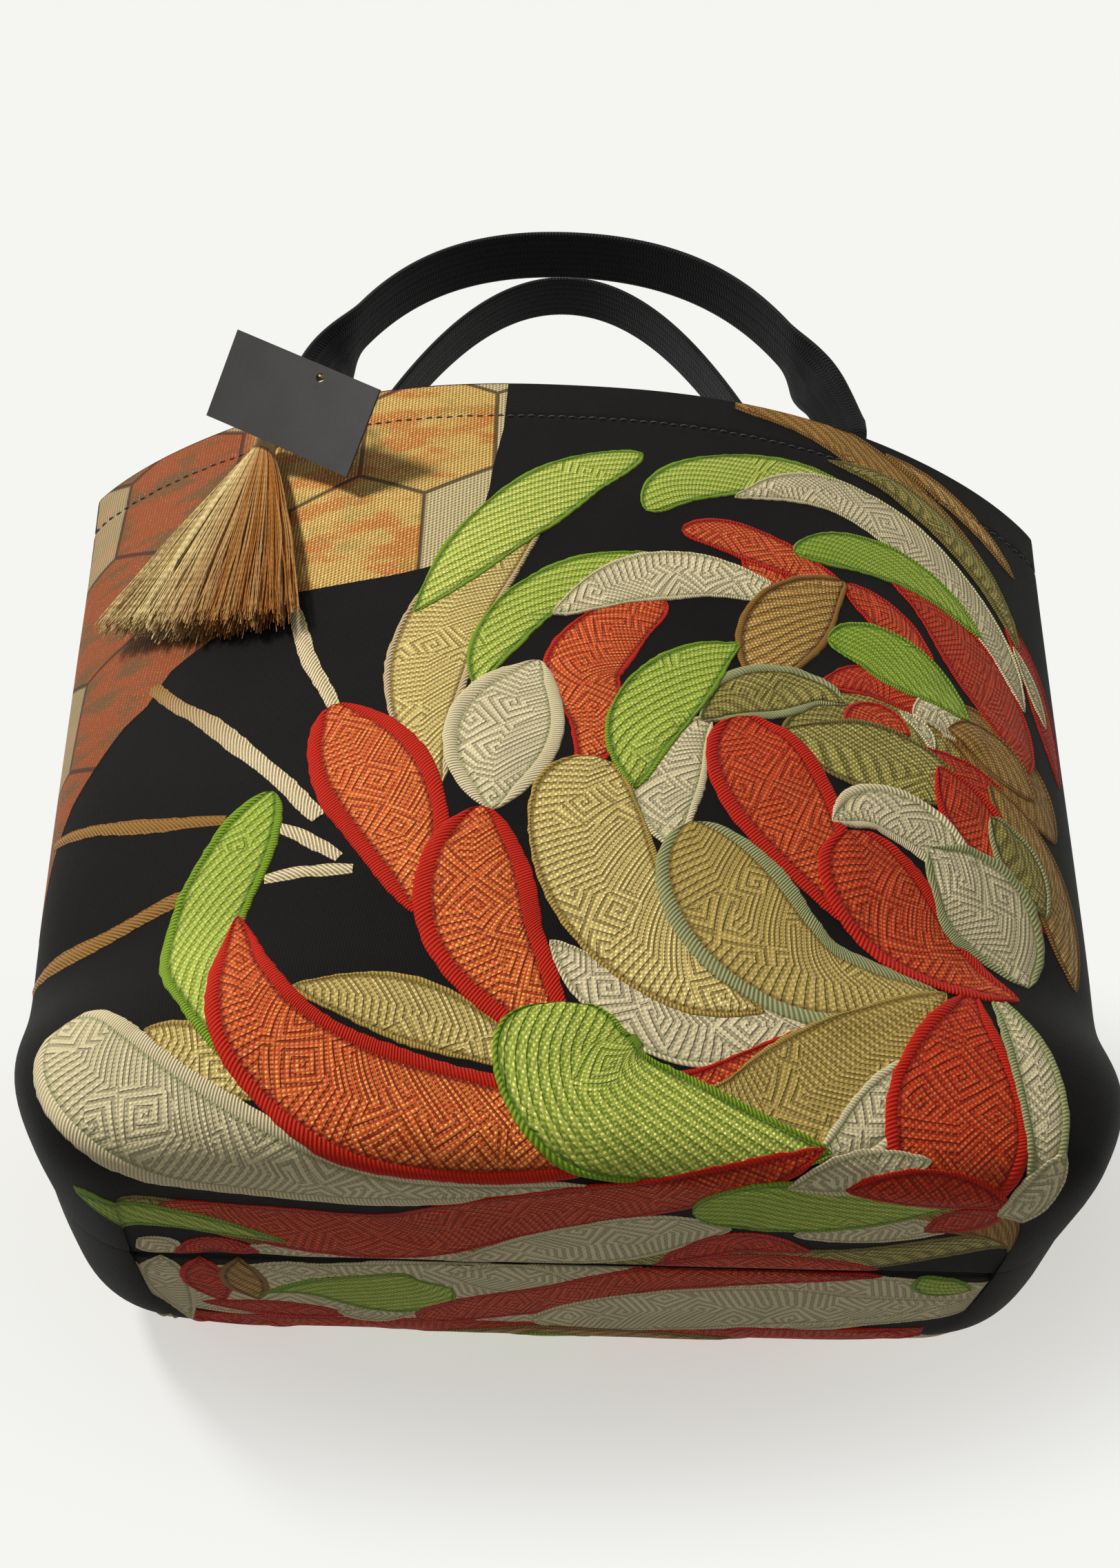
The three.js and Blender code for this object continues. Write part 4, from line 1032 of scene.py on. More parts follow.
PETALS = [
    ("olive", [(56, 184), (76, 198), (100, 204), (120, 196), (130, 178)], 34, {}),
    ("bronze", [(104, 216), (124, 210), (140, 198), (152, 180)], 34, {"tint": (0.0, 0.3)}),
    ("red", [(98, 196), (116, 182), (131, 162), (139, 140)], 34, {"tint": (0.0, 0.1)}),
    ("bronze", [(124, 190), (138, 170), (145, 148), (147, 126)], 24, {"tint": (0.3, 0.9)}),
    ("red", [(72, 216), (88, 222), (106, 218), (124, 204)], 18, {"tint": (0.0, 0.1)}),
    ("bronze", [(56, 354), (84, 351), (104, 342), (124, 328), (141, 310), (149, 290)], 19,
     {"ends": (0.06, 0.97), "rim": 0.7, "tint": (0.0, 0.3)}),
    ("bronze", [(112, 350), (132, 342), (150, 330), (162, 316)], 11, {"tint": (0.8, 1.0)}),
    ("red", [(150, 292), (156, 275), (160, 255), (163, 232), (164, 212)], 14, {"tint": (0.0, 0.0)}),
    ("white", [(152, 272), (157, 256), (161, 238)], 7, {}),
    ("gold", [(-17, 278), (-36, 247), *seen(TALL_GOLD), (-44, 187), (-38, 166)], 27,
     {"ends": (0.1, 1.0), "edge": "stems", "rim": 1.8, "tint": (0.5, 0.8)}),
    ("gold", [(-107, 89), *seen(SMALL_GOLD), (-86, 77), (-77, 70)], 15, {"tint": (0.4, 0.9)}),
    ("lime", [(22, 287), (33, 302), (52, 313), (78, 321), (97, 321)], 21, {"peak": 0.38, "tint": (0.4, 0.8)}),
    ("olive", [(88, 334), (112, 331), (132, 318), (148, 298), (155, 272)], 14, {}),
    ("red", [(103, 278), *seen(RIGHT_RED), (135, 238), (142, 218), (144, 205)], 27,
     {"peak": 0.55, "edge": "red_edge", "tint": (0.0, 0.1)}),
    ("white", [*seen(ARCHED_WHITE), (71, 311), (90, 314), (110, 307), (126, 293), (139, 274), (147, 254),
               (150, 238)], 23, {}),
    ("lime", [(22, 318), (-4, 300), (-30, 271), (-50, 240)], 25, {"peak": 0.45, "tint": (0.6, 1.0)}),
    ("lime", [(22, 267), (0, 256), (-17, 240), (-27, 220), (-30, 203)], 18, {"tint": (0.3, 0.7)}),
    ("red", [(27, 246), (12, 234), (1, 214), (5, 192), (1, 170)], 24, {"peak": 0.4, "tint": (0.3, 0.6)}),
    ("red", [(53, 272), (60, 262), (61, 248)], 15, {"tint": (0.3, 0.6)}),
    ("red", [*seen(UPPER_RED), (90, 262)], 18, {"peak": 0.4, "tint": (0.3, 0.4)}),
    ("red", [(86, 267), (99, 256), (107, 244), (112, 230)], 16, {"peak": 0.4, "tint": (0.1, 0.2)}),
    ("white", [(-130, 94), (-119, 79), (-103, 66), (-84, 56), *seen(LONG_WHITE), (-30, 45), (5, 50)], 30,
     {"peak": 0.2, "edge": "white_edge", "rim": 3.6, "tint": (0.9, 0.0)}),
    ("lime", [(70, 277), (85, 284), (99, 286), (112, 284), (124, 277), (136, 264)], 21,
     {"peak": 0.42, "tint": (0.0, 0.3)}),
    ("white", [(60, 255), (38, 259), (15, 253), (-8, 238)], 21, {"ends": (0.1, 1.0), "tint": (0.1, 0.3)}),
    ("white", [(-12, 217), (-19, 198), (-23, 178), (-24, 157)], 34,
     {"edge": "white_edge", "rim": 4.2, "tint": (0.1, 0.3)}),
    ("white", [(-8, 116), (6, 103), (26, 93), (50, 95), (68, 102)], 22, {"tint": (0.0, 0.1)}),
    ("gold", [(-72, 101), (-50, 97), (-30, 90), (-12, 80)], 18, {"tint": (0.3, 0.7)}),
    ("lime", [(-85, 167), (-92, 149), (-98, 131), (-99, 115), (-93, 99), *seen(LEFT_LIME)], 23,
     {"peak": 0.38, "tint": (0.2, 0.9), "rim": 2.2}),
    ("white", [(38, 197), (28, 184), (23, 166), (25, 146)], 22, {"rim": 2}),
    ("bronze", [(86, 268), (74, 256), (62, 237), (52, 211)], 27, {"rim": 2, "tint": (0.5, 0.8)}),
    ("olive", [(35, 195), (46, 206), (58, 211), (70, 213), (80, 209)], 22, {"edge": "pale_edge", "rim": 2.8}),
    ("red", [(78, 200), (89, 205), (99, 201)], 15, {"tint": (0.1, 0.2)}),
    ("white", [(97, 211), (104, 205), (106, 197)], 6, {}),
    ("olive", [*seen(BROAD_OLIVE), (118, 177)], 28, {"tint": (0.5, 0.9)}),
    ("white", [(101, 211), (112, 214), (126, 206)], 18, {}),
    ("bronze", [(112, 208), (128, 206), (144, 193)], 22, {}),
    ("lime", [(77, 238), (92, 238), (108, 229), (121, 215)], 27, {"peak": 0.45, "tint": (0.0, 0.2)}),
    ("gold", [(4, 178), (1, 160), (5, 138), (14, 118), (28, 104), (46, 97)], 33,
     {"peak": 0.32, "tint": (0.6, 0.9)}),
    ("red", [(-90, 126), (-85, 104), (-77, 88), (-63, 76), (-48, 69), (-28, 65), (-6, 63), (10, 62)], 31,
     {"peak": 0.5, "ends": (0.0, 0.9), "edge": "red_edge", "rim": 3.4, "tint": (0.4, 1.0)}),
    ("red", seen(LOW_RED), 9, {"ends": (0.2, 1.0), "edge": "red_edge"}),
    ("lime", [(49, 230), (38, 222), (26, 207), (17, 188), (15, 167)], 24, {"tint": (0.3, 0.6)}),
    ("red", [(46, 198), (53, 175), (63, 150), (73, 126)], 34,
     {"peak": 0.34, "edge": "red_edge", "rim": 4, "tint": (0.1, 0.4)}),
    ("red", [(-71, 199), (-61, 178), (-50, 155), (-40, 122)], 33,
     {"peak": 0.4, "edge": "red_edge", "rim": 4.5, "tint": (0.6, 0.9)}),
    ("red", [(106, 190), (113, 178), (120, 165), (126, 156)], 22,
     {"edge": "red_edge", "rim": 2, "tint": (0.0, 0.2)}),
    ("olive", [(122, 176), (131, 162), (137, 146)], 20, {"edge": "pale_edge", "rim": 2}),
    ("gold", [(30, 156), (37, 136), (48, 118), (64, 107), (94, 107)], 37,
     {"peak": 0.35, "edge": "pale_edge", "rim": 4, "tint": (0.0, 0.3)}),
    ("gold", [(95, 108), (75, 89), (57, 76), (39, 69), *seen(LOW_GOLD)], 31,
     {"peak": 0.55, "tint": (0.0, 0.1)}),
    ("white", [(82, 86), (74, 74), (66, 65), (56, 59)], 14, {"rim": 2}),
    ("red", [(104, 113), (97, 95), (93, 79), *seen(CORNER_RED), (90, 50)], 36,
     {"peak": 0.62, "ends": (0.0, 0.88), "edge": "red_edge", "rim": 3, "tint": (0.0, 0.2)}),
    ("white", [(109, 113), (113, 95), *seen(CORNER_WHITE), (113, 66), (110, 50)], 14,
     {"edge": "pale_edge", "rim": 2}),
    ("red", [(-27, 158), (-28, 138), (-25, 118), (-13, 98), (-2, 85)], 32,
     {"peak": 0.4, "edge": "red_edge", "rim": 4.5, "tint": (0.6, 0.9)}),
    ("red", [(76, 159), (80, 142), (89, 127), (104, 116), (118, 111)], 33,
     {"peak": 0.34, "edge": "red_edge", "rim": 3.6, "tint": (0.1, 0.3)}),
    ("lime", [(-5, 98), (-4, 84), (4, 72), (20, 66), (40, 62), (60, 61)], 37,
     {"peak": 0.24, "rim": 1.6, "tint": (0.6, 0.9)}),
    ("white", [*seen(MIDDLE_WHITE_START), (82, 168), *seen(MIDDLE_WHITE_END), (112, 147)], 21,
     {"edge": "white_edge", "rim": 2.6}),
    ("white", [(98, 157), (110, 147), (119, 134), (124, 118)], 38, {"edge": "pale_edge", "rim": 3.4}),
]
FRONT_BASE = [
    ("olive", [(-118, 44), (-60, 8), (0, 4), (70, 8), (112, 30)], 20, {"ends": (0.1, 0.9)}),
    ("white", [(-88, 6), (-50, 6), (-16, 4)], 13, {}),
    ("bronze", [(44, 46), (70, 44), (100, 40), (118, 30)], 24, {"ends": (0.0, 0.9), "tint": (0.0, 0.2)}),
    ("red", [(-102, 36), (-84, 25), (-60, 18), (-40, 18), (-20, 29), (0, 38), (30, 49), (58, 62)], 28,
     {"peak": 0.38, "tint": (0.1, 0.1)}),
    ("white", [(-32, 1), (-15, 8), (5, 15), (22, 23), (40, 27)], 26, {"peak": 0.6}),
    ("lime", [(-135, 56), (-122, 43), (-108, 31), (-90, 22), (-72, 12)], 14, {"peak": 0.4}),
    ("red", [(22, 2), (50, 5), (82, 3)], 13, {"tint": (0.1, 0.1)}),
    ("red", [(24, 4), (32, 12), (44, 19), (62, 14)], 12, {"tint": (0.0, 0.0)}),
    ("white", [(56, 24), (75, 29), (95, 32)], 17, {}),
    ("lime", [(29, 36), (42, 40), (55, 40), (70, 42), (94, 48)], 28, {"peak": 0.35}),
    ("white", [(50, 52), (66, 56), (84, 60)], 11, {}),
    ("red", [(64, 52), (85, 52), (106, 50)], 13, {"tint": (0.0, 0.0)}),
    ("red", [(88, 30), (96, 38), (105, 47)], 13, {"tint": (0.0, 0.0)}),
    ("white", [(104, 44), (112, 53), (118, 64)], 12, {}),
    ("white", [(-110, 14), (-106, 8), (-102, 1)], 12, {}),
    ("red", [(-102, 1), (-92, 9), (-80, 4)], 10, {"tint": (0.0, 0.0)}),
]
REAR_BASE = [
    ("white", [(-116, 24), (0, 24), (114, 20)], 50, {"ends": (0.14, 0.86)}),
    ("red", [(-104, 46), (0, 50), (104, 46)], 15, {"ends": (0.1, 0.9), "tint": (0.0, 0.1)}),
    ("white", [(-106, 1), (-107, 25), (-104, 50)], 14, {"peak": 0.4}),
    ("red", [(-96, 1), (-96, 15), (-93, 32)], 13, {"tint": (0.0, 0.0)}),
    ("red", [(-99, 34), (-80, 36), (-58, 40)], 11, {"tint": (0.0, 0.0)}),
    ("bronze", [(-86, 1), (-86, 14), (-83, 30)], 12, {}),
    ("white", [(-82, 5), (-72, 7), (-60, 9)], 10, {}),
    ("white", [(-62, 37), (-52, 39), (-41, 38)], 11, {}),
    ("lime", [(-85, 26), (-68, 20), (-50, 22), (-38, 22), (-30, 18)], 29, {"peak": 0.72}),
    ("white", [(-31, 8), (-15, 10), (3, 12)], 20, {}),
    ("red", [(-40, 41), (-20, 31), (0, 22), (20, 9), (42, 5), (84, 2)], 19,
     {"peak": 0.3, "edge": "red_edge", "tint": (0.1, 0.1)}),
    ("white", [(-8, 41), (20, 32), (40, 28), (60, 25), (80, 26), (112, 20)], 30, {"peak": 0.4}),
    ("lime", [(94, 2), (100, 8), (110, 12)], 14, {}),
    ("bronze", [(-40, 54), (0, 50), (50, 51)], 12, {}),
    ("lime", [(-18, 60), (-3, 56), (14, 58)], 14, {}),
]
# The edge of the tortoiseshell patch, from the side seam up to the mouth
PATCH_EDGE = [
    (-172, 140), (-165, 165), *seen(PATCH_FOOT), (-147, 195), (-138, 207), (-131, 213),
    *seen(PATCH_SLOPE), (-98, 253), (-76, 255), (-56, 258), (-42, 262), (-38, 268), (-32, 280),
    *seen(PATCH_TOP), (-25, 329), (-24, 356),
]
# Each kind: the shades it turns to, of its flecks and of its seam band (a real pale green band on the white
# petals, a dark line of painted shade beside the raised edge on the others), how dark its grooves are, how
# much of it is fret, how its lines slant, and how strong its flecks are
KINDS = {
    "gold": ((246, 218, 134), (255, 238, 166), (122, 96, 38), 0.38, 0.3, (0.4, 0.6, 1), 0.9),
    "red": ((248, 118, 50), (255, 186, 96), (128, 14, 6), 0.45, 0.6, (0.5, 0.5, 1), 0.95),
    "lime": ((208, 210, 98), (240, 232, 132), (66, 104, 24), 0.58, 0.12, (0, 0.75, 0.3), 1.0),
    "white": ((212, 200, 146), (250, 240, 208), (158, 156, 108), 0.36, 0.55, (0.6, 0.4, 1), 0.3),
    "olive": ((160, 156, 70), (236, 216, 128), (66, 56, 20), 0.36, 0.35, (0.35, 0.5, 0.4), 1.0),
    "bronze": ((178, 132, 60), (242, 206, 126), (80, 48, 20), 0.44, 0.15, (0.1, 0.6, 0.3), 1.0),
}


def lay_patch(relief, gathered):
    """The tortoiseshell patch in the panel's upper left, woven flat."""
    panel = relief.panel
    mirror = -panel.side
    levels = np.linspace(141, TOP - 0.6, 140)
    edge = np.interp(levels, [s for _, s in PATCH_EDGE], [p for p, _ in PATCH_EDGE])
    outer = -(panel.half_at(levels) - 0.5)
    edge = np.maximum(edge, outer + 0.2)
    share = np.concatenate([[0], np.linspace(0, 1, 70), [1]])
    p = outer[:, None] + (edge - outer)[:, None] * share
    s = np.broadcast_to(levels[:, None], p.shape)
    lift = np.full(p.shape, 0.1)
    lift[:, [0, -1]] = -0.3
    lift[:2] = -0.1
    uv = np.stack([p, s], -1)
    gathered.add(panel.place(p * mirror, s, lift), uv, 0.0)
    relief.lay(p * mirror, s, np.maximum(lift, 0))


# Straps

def root_layer(z):
    depth = CLOTH + LAY + FACING
    near = wall_at(ROOT_X - WEBBING_WIDTH / 2, z, depth)[0]
    far = wall_at(ROOT_X + WEBBING_WIDTH / 2, z, depth)[0]
    return (near + far) / 2 - SEWN_STAND - WEBBING / 2, (far - near) / WEBBING_WIDTH


ROOT_EDGE = float(mouth_edge(ROOT_X - WEBBING_WIDTH / 2))
HINGE_Z = ROOT_EDGE + ROOT_RISE
HINGE_Y = float(root_layer(ROOT_EDGE)[0])


def bezier(points, t):
    a, b, c, d = (np.asarray(point, float) for point in points)
    t = np.asarray(t)[:, None]
    place = (1 - t) ** 3 * a + 3 * (1 - t) ** 2 * t * b + 3 * (1 - t) * t ** 2 * c + t ** 3 * d
    along = 3 * (1 - t) ** 2 * (b - a) + 6 * (1 - t) * t * (c - b) + 3 * t ** 2 * (d - c)
    return place, along / np.linalg.norm(along, axis=1, keepdims=True)


def arch_leg(side, hand, arch):
    """Half of a handle from its root up to the crown: middles, ways across and ways through."""
    points = [(hand * ROOT_X, 0, 0), (hand * (ROOT_X - arch["taper"]), 0, arch["leg"]),
              (hand * arch["crown"], 0, arch["rise"]), (0, 0, arch["rise"])]
    fine, _ = bezier(points, np.linspace(0, 1, 400))
    run = run_along(fine)
    at = np.linspace(0, run[-1], 90)
    middle, along = bezier(points, np.interp(at, run, np.linspace(0, 1, 400)))
    ridge = np.array([0.0, 1.0, 0.0])
    level = np.array([-hand, 0.0, 0.0])
    square = np.cross(ridge, along) * -hand
    blend = smooth(at, 0, LEVEL_LENGTH)[:, None]
    flat = level * (1 - blend) + square * blend
    flat /= np.linalg.norm(flat, axis=1, keepdims=True)
    turn = (smooth(at, 0, TWIST_LENGTH) * np.pi / 2)[:, None]
    across = flat * np.cos(turn) + ridge * np.sin(turn)
    through = -flat * np.sin(turn) + ridge * np.cos(turn)
    lean = side * HANDLE_LEAN
    tilt = np.array([[1, 0, 0], [0, math.cos(lean), -math.sin(lean)], [0, math.sin(lean), math.cos(lean)]])
    middle = middle @ tilt.T + np.array([0, side * HINGE_Y, HINGE_Z])
    return middle, across @ tilt.T, through @ tilt.T


def sewn_leg(side, hand):
    """A strap's sewn end, from its cut end up to the hinge at its root."""
    levels = np.linspace(ROOT_EDGE - SEWN_LENGTH, HINGE_Z - 0.8, 26)
    middles, ways, throughs = [], [], []
    for z in levels:
        y, slope = root_layer(min(z, ROOT_EDGE))
        turn = float(np.clip((z - ROOT_EDGE) / (HINGE_Z - ROOT_EDGE) / 0.4, 0, 1))
        across = np.array([1.0, side * hand * slope * (1 - turn), 0.0])
        across /= np.linalg.norm(across)
        middles.append([hand * ROOT_X, side * y, z])
        ways.append(across * -hand)
        throughs.append([-across[1], across[0], 0.0])
    return np.array(middles), np.array(ways), np.array(throughs)


def strap_stations(name):
    """The whole strap from its left sewn end over the crown to its right one."""
    side = SIDES[name]
    legs = [(sewn_leg(side, hand), arch_leg(side, hand, ARCHES[name])) for hand in (-1, 1)]
    return [np.concatenate([legs[0][0][k], legs[0][1][k], legs[1][1][k][::-1][1:], legs[1][0][k][::-1]])
            for k in range(3)]


def strap_section():
    """Outline of the webbing: flat faces, firm rounded edges that are a little thicker."""
    flat = np.linspace(-1, 1, 13) * (WEBBING_WIDTH / 2 - 1)
    top = [(u, WEBBING / 2 - 0.08 * (1 - 2 * abs(u) / WEBBING_WIDTH) ** 0.5) for u in flat]
    turn = np.linspace(np.pi / 2, -np.pi / 2, 7)[1:-1]
    right = [(WEBBING_WIDTH / 2 - 1 + math.cos(t), math.sin(t)) for t in turn]
    bottom = [(u, -v) for u, v in top[::-1]]
    left = [(-u, -v) for u, v in right]
    return np.array(top + right + bottom + left)


def strap_mesh(name):
    middle, across, through = strap_stations(name)
    section = strap_section()
    ring = np.concatenate([section, section[:1]])
    points = middle[:, None] + across[:, None] * ring[None, :, :1] + through[:, None] * ring[None, :, 1:]
    run = run_along(middle)
    uv = np.stack(np.broadcast_arrays(ring[None, :, 0], run[:, None]), -1)
    gathered = Gathered()
    gathered.add(points, uv)
    for end in (0, -1):
        cap = np.stack([points[end], np.broadcast_to(middle[end], points[end].shape)])
        gathered.add(cap, uv[[end, end]], flip=end == -1)
    return gathered.arrays()


# Cords

def tassel_axes():
    """The tassel's frame: where its head is, to the right, towards the bag and up."""
    x = -ROOT_X - TASSEL_ASIDE
    z = float(mouth_edge(x)) - TASSEL_DROP
    y, along_x, along_z = wall_at(x, z, 0)
    out = np.array([-along_x, -1.0, -along_z])
    out /= np.linalg.norm(out)
    up = np.array([0.0, 0.0, 1.0]) - out * out[2]
    up /= np.linalg.norm(up)
    lean = math.radians(-TASSEL_LEAN)
    up = up * math.cos(lean) + np.cross(out, up) * math.sin(lean)
    right = np.cross(-out, up)
    stand = max(COLLAR_RADIUS, SKIRT_THICKNESS / 2) + TASSEL_STAND
    return np.array([x, -y, z]) + out * stand, right, -out, up


def tag_axes():
    """The hang tag's frame: its middle, along it, behind it and up its face."""
    x = -ROOT_X + 1.5
    middle = np.array([x, -MOUTH_DEPTH / 2 - 14, float(mouth_edge(x)) - 27.6])
    turn = Matrix.Rotation(math.radians(29), 3, "Y") @ Matrix.Rotation(math.radians(45), 3, "X")
    return middle, np.array(turn)


def root_ring(level, reach, end):
    """A ring round the left root of the front handle, from its front right corner round the back."""
    tip, corner, round_corner = WEBBING_WIDTH / 2 + end, WEBBING_WIDTH / 2 + 0.4, 0.84 * reach
    flat = [(8, -reach), (corner, -round_corner), (tip, 0), (corner, round_corner), (8, reach),
            (0, reach + 0.1), (-8, reach), (-corner, round_corner), (-tip, 0), (-corner, -round_corner),
            (-8, -reach)]
    return [(x - ROOT_X, y - HINGE_Y, ROOT_EDGE + ROOT_RISE * level) for x, y in flat]


def loop_route():
    """From the tassel's head over the mouth's edge, round the handle's root and back."""
    head, right, _, up = tassel_axes()
    end = COLLAR_LENGTH / 2 + 0.5
    edge_x = -ROOT_X - 3
    edge_z = float(mouth_edge(edge_x))
    edge_y = -wall_at(edge_x, edge_z, 0)[0]

    def foot(x, z):
        return tuple(head + right * x + up * z)

    def over(x, out, z):
        return edge_x + x, edge_y - out, edge_z + z

    return [foot(1, end), foot(1, end + 2), over(0.5, 3, -3), over(1.8, 1.8, 2), *root_ring(0.36, 3.2, 1.5),
            over(-0.8, 1.8, 2), over(-1.6, 3, -3), foot(-1, end + 2), foot(-1, end)]


def tag_thread_route():
    """From the tag's face through its eyelet, round the handle's root and back to the eyelet."""
    middle, turn = tag_axes()
    eyelet = np.array([5, 0, 11])

    def near(*spot):
        return tuple(middle + turn @ (eyelet + np.array(spot)))

    return [near(0, -1.2, 0.6), near(0, 1.4, 0.6), near(0.4, 8, 1), *root_ring(0.64, 3.8, 0.9),
            near(-1.4, 8, 1), near(-1, 1.6, 0.6)]


def cord_line(route, count):
    """A smooth line through a cord's route, spaced as the solid's is."""
    points = np.asarray(route, float)
    ends = np.concatenate([[2 * points[0] - points[1]], points, [2 * points[-1] - points[-2]]])
    line = []
    for k in range(len(points) - 1):
        a, b, c, d = ends[k:k + 4]
        gaps = [max(np.linalg.norm(q - r) ** 0.5, 1e-6) for q, r in ((b, a), (c, b), (d, c))]
        start = ((b - a) / gaps[0] - (c - a) / (gaps[0] + gaps[1]) + (c - b) / gaps[1]) * gaps[1]
        stop = ((c - b) / gaps[1] - (d - b) / (gaps[1] + gaps[2]) + (d - c) / gaps[2]) * gaps[1]
        t = np.linspace(0, 1, count, endpoint=k == len(points) - 2)[:, None]
        line.append(b + start * t + (-3 * b + 3 * c - 2 * start - stop) * t ** 2
                    + (2 * b - 2 * c + start + stop) * t ** 3)
    return np.concatenate(line)


def cord_mesh(line, diameter, sides=12):
    gathered = Gathered()
    add_tubes(gathered, line[None], np.full((1, len(line)), diameter / 2), sides)
    points, faces, uv, tint = gathered.arrays()
    ring = sides + 1
    caps = [list(range(sides)), list(range((len(line) - 1) * ring, (len(line) - 1) * ring + sides))[::-1]]
    return points, [list(f) for f in faces] + caps, uv, tint


# Operators

class ToteOperator:
    """What the bag's operators share."""
    bl_options = {"REGISTER", "UNDO"}


def placement(right, up, back, place):
    """The matrix of a camera or lamp from its three ways and its place."""
    return Matrix(np.vstack([np.column_stack([right, up, back, place]), [0, 0, 0, 1]]).tolist())


class TOTE_OT_stage(ToteOperator, bpy.types.Operator):
    """Makes the camera, the floor, the backdrop and the light"""
    bl_idname = "tote.stage"
    bl_label = "Stage"

    def execute(self, context):
        settings = context.scene.tote_stage
        scene = context.scene
        scene.view_settings.view_transform = "Standard"
        lens = bpy.data.cameras.new("camera")
        lens.sensor_width, lens.lens, lens.clip_start, lens.clip_end = CAMERA_SENSOR, CAMERA_LENS, 0.01, 20
        camera = bpy.data.objects.new("camera", lens)
        right, up, ahead = camera_axes()
        camera.matrix_world = placement(right, up, -ahead, np.array(CAMERA_PLACE) / 1000)
        scene.collection.objects.link(camera)
        scene.camera = camera
        self.light(scene, "key_light", KEY_PLACE, KEY_SIZE, settings.key)
        self.light(scene, "back_light", BACK_PLACE, BACK_SIZE, settings.back)
        self.world(scene, settings)
        self.plane(scene, "floor", settings, FLOOR_PLACE, (0, 0, 0), FLOOR_REACH, FLOOR_FOOT)
        upright = (math.pi / 2, 0, 0)
        self.plane(scene, "backdrop", settings, BACKDROP_PLACE, upright, BACKDROP_REACH, BACKDROP_FOOT)
        return {"FINISHED"}

    def light(self, scene, name, place, size, energy):
        """A round lamp aimed at the middle of the bag."""
        lamp = bpy.data.lights.new(name, "AREA")
        lamp.shape, lamp.size, lamp.energy = "DISK", size, energy
        stand = bpy.data.objects.new(name, lamp)
        back = np.array(place) - np.array(LAMP_AIM)
        back /= np.linalg.norm(back)
        side = np.cross([0, 0, 1], back)
        side /= np.linalg.norm(side)
        stand.matrix_world = placement(side, np.cross(back, side), back, place)
        scene.collection.objects.link(stand)

    def world(self, scene, settings):
        """Plain light from all round, and a pale colour for the camera, gloss and glass."""
        finish = Finish("surroundings", "worlds")
        scene.world = finish.block
        ray = finish.node("ShaderNodeLightPath", None, None, "Is Camera Ray")
        shown = ray.most(ray.output("Is Glossy Ray")).most(ray.output("Is Transmission Ray"))
        white = (1, 1, 1, 1)
        plain = finish.node("ShaderNodeBackground", None, {"Color": white, "Strength": settings.ambient})
        sky = finish.node("ShaderNodeBackground", None, {"Color": (*settings.sky, 1), "Strength": 1.0})
        both = finish.node("ShaderNodeMixShader", None, {0: shown, 1: plain, 2: sky})
        finish.node("ShaderNodeOutputWorld", None, {"Surface": both})

    def plane(self, scene, name, settings, place, turn, reach, foot):
        """A one-sided sheet for the camera and gloss: it keeps shadows near its foot and fades far off."""
        mesh = bpy.data.meshes.new(name)
        corners = [(-reach, -reach, 0), (reach, -reach, 0), (reach, reach, 0), (-reach, reach, 0)]
        mesh.from_pydata(corners, [], [(0, 1, 2, 3)])
        sheet = bpy.data.objects.new(name, mesh)
        sheet.location, sheet.rotation_euler = place, turn
        scene.collection.objects.link(sheet)
        finish = Finish(f"{name}_paper")
        spot = finish.place()
        far = finish.node("ShaderNodeVectorMath", {"operation": "LENGTH"}, {0: spot}, "Value")
        fade = 1 - far.step(FADE_START * reach, FADE_END * reach)
        ray = finish.node("ShaderNodeLightPath", None, None, "Is Camera Ray")
        shown = ray.most(ray.output("Is Glossy Ray"))
        front = 1 - finish.node("ShaderNodeNewGeometry", None, None, "Backfacing")
        grain = finish.noise(spot, 0.02, 3.0)
        lit = finish.mix(grain, darker(tuple(settings.paper), 0.985), tuple(settings.paper))
        paper = finish.node("ShaderNodeBsdfDiffuse", None, {"Color": lit})
        shade = finish.node("ShaderNodeEmission", None, {"Color": (*settings.shade, 1), "Strength": 1.0})
        shaded = finish.node("ShaderNodeAddShader", None, {0: paper, 1: shade})
        plain = finish.node("ShaderNodeEmission", None, {"Color": (*settings.sky, 1), "Strength": 1.0})
        x, y = finish.parts(spot)
        x, y = x * SHADOW_SQUEEZE, y - foot
        near = 1 - (x * x + y * y).step(SHADOW_FULL ** 2, SHADOW_GONE ** 2)
        sheet_look = finish.node("ShaderNodeMixShader", None, {0: near, 1: plain, 2: shaded})
        clear = finish.node("ShaderNodeBsdfTransparent")
        both = finish.node("ShaderNodeMixShader", None, {0: fade * shown * front, 1: clear, 2: sheet_look})
        finish.node("ShaderNodeOutputMaterial", None, {"Surface": both})
        mesh.materials.append(finish.block)


class TOTE_OT_cords(ToteOperator, bpy.types.Operator):
    """Makes the tassel's loop and the tag's thread round the handle's root"""
    bl_idname = "tote.cords"
    bl_label = "Cords"

    def execute(self, context):
        tassel = context.scene.tote_tassel
        finish = silk_finish("twisted_cord", tuple(tassel.cream), tuple(tassel.amber), 2.2)
        for name, route, diameter, body, node in (
                ("twisted_loop", loop_route(), TASSEL_CORD, "tassel_cord", "tassel_loop"),
                ("tag_cord_thread", tag_thread_route(), TAG_THREAD, "tag_cord", "tag_thread")):
            line = cord_line(route, 12)
            points, faces, uv, tint = cord_mesh(line, diameter)
            piece = settle(make_piece(name, points, faces, finish, uv, tint, 60), body, [node])
            diameter / 1000
        return {"FINISHED"}


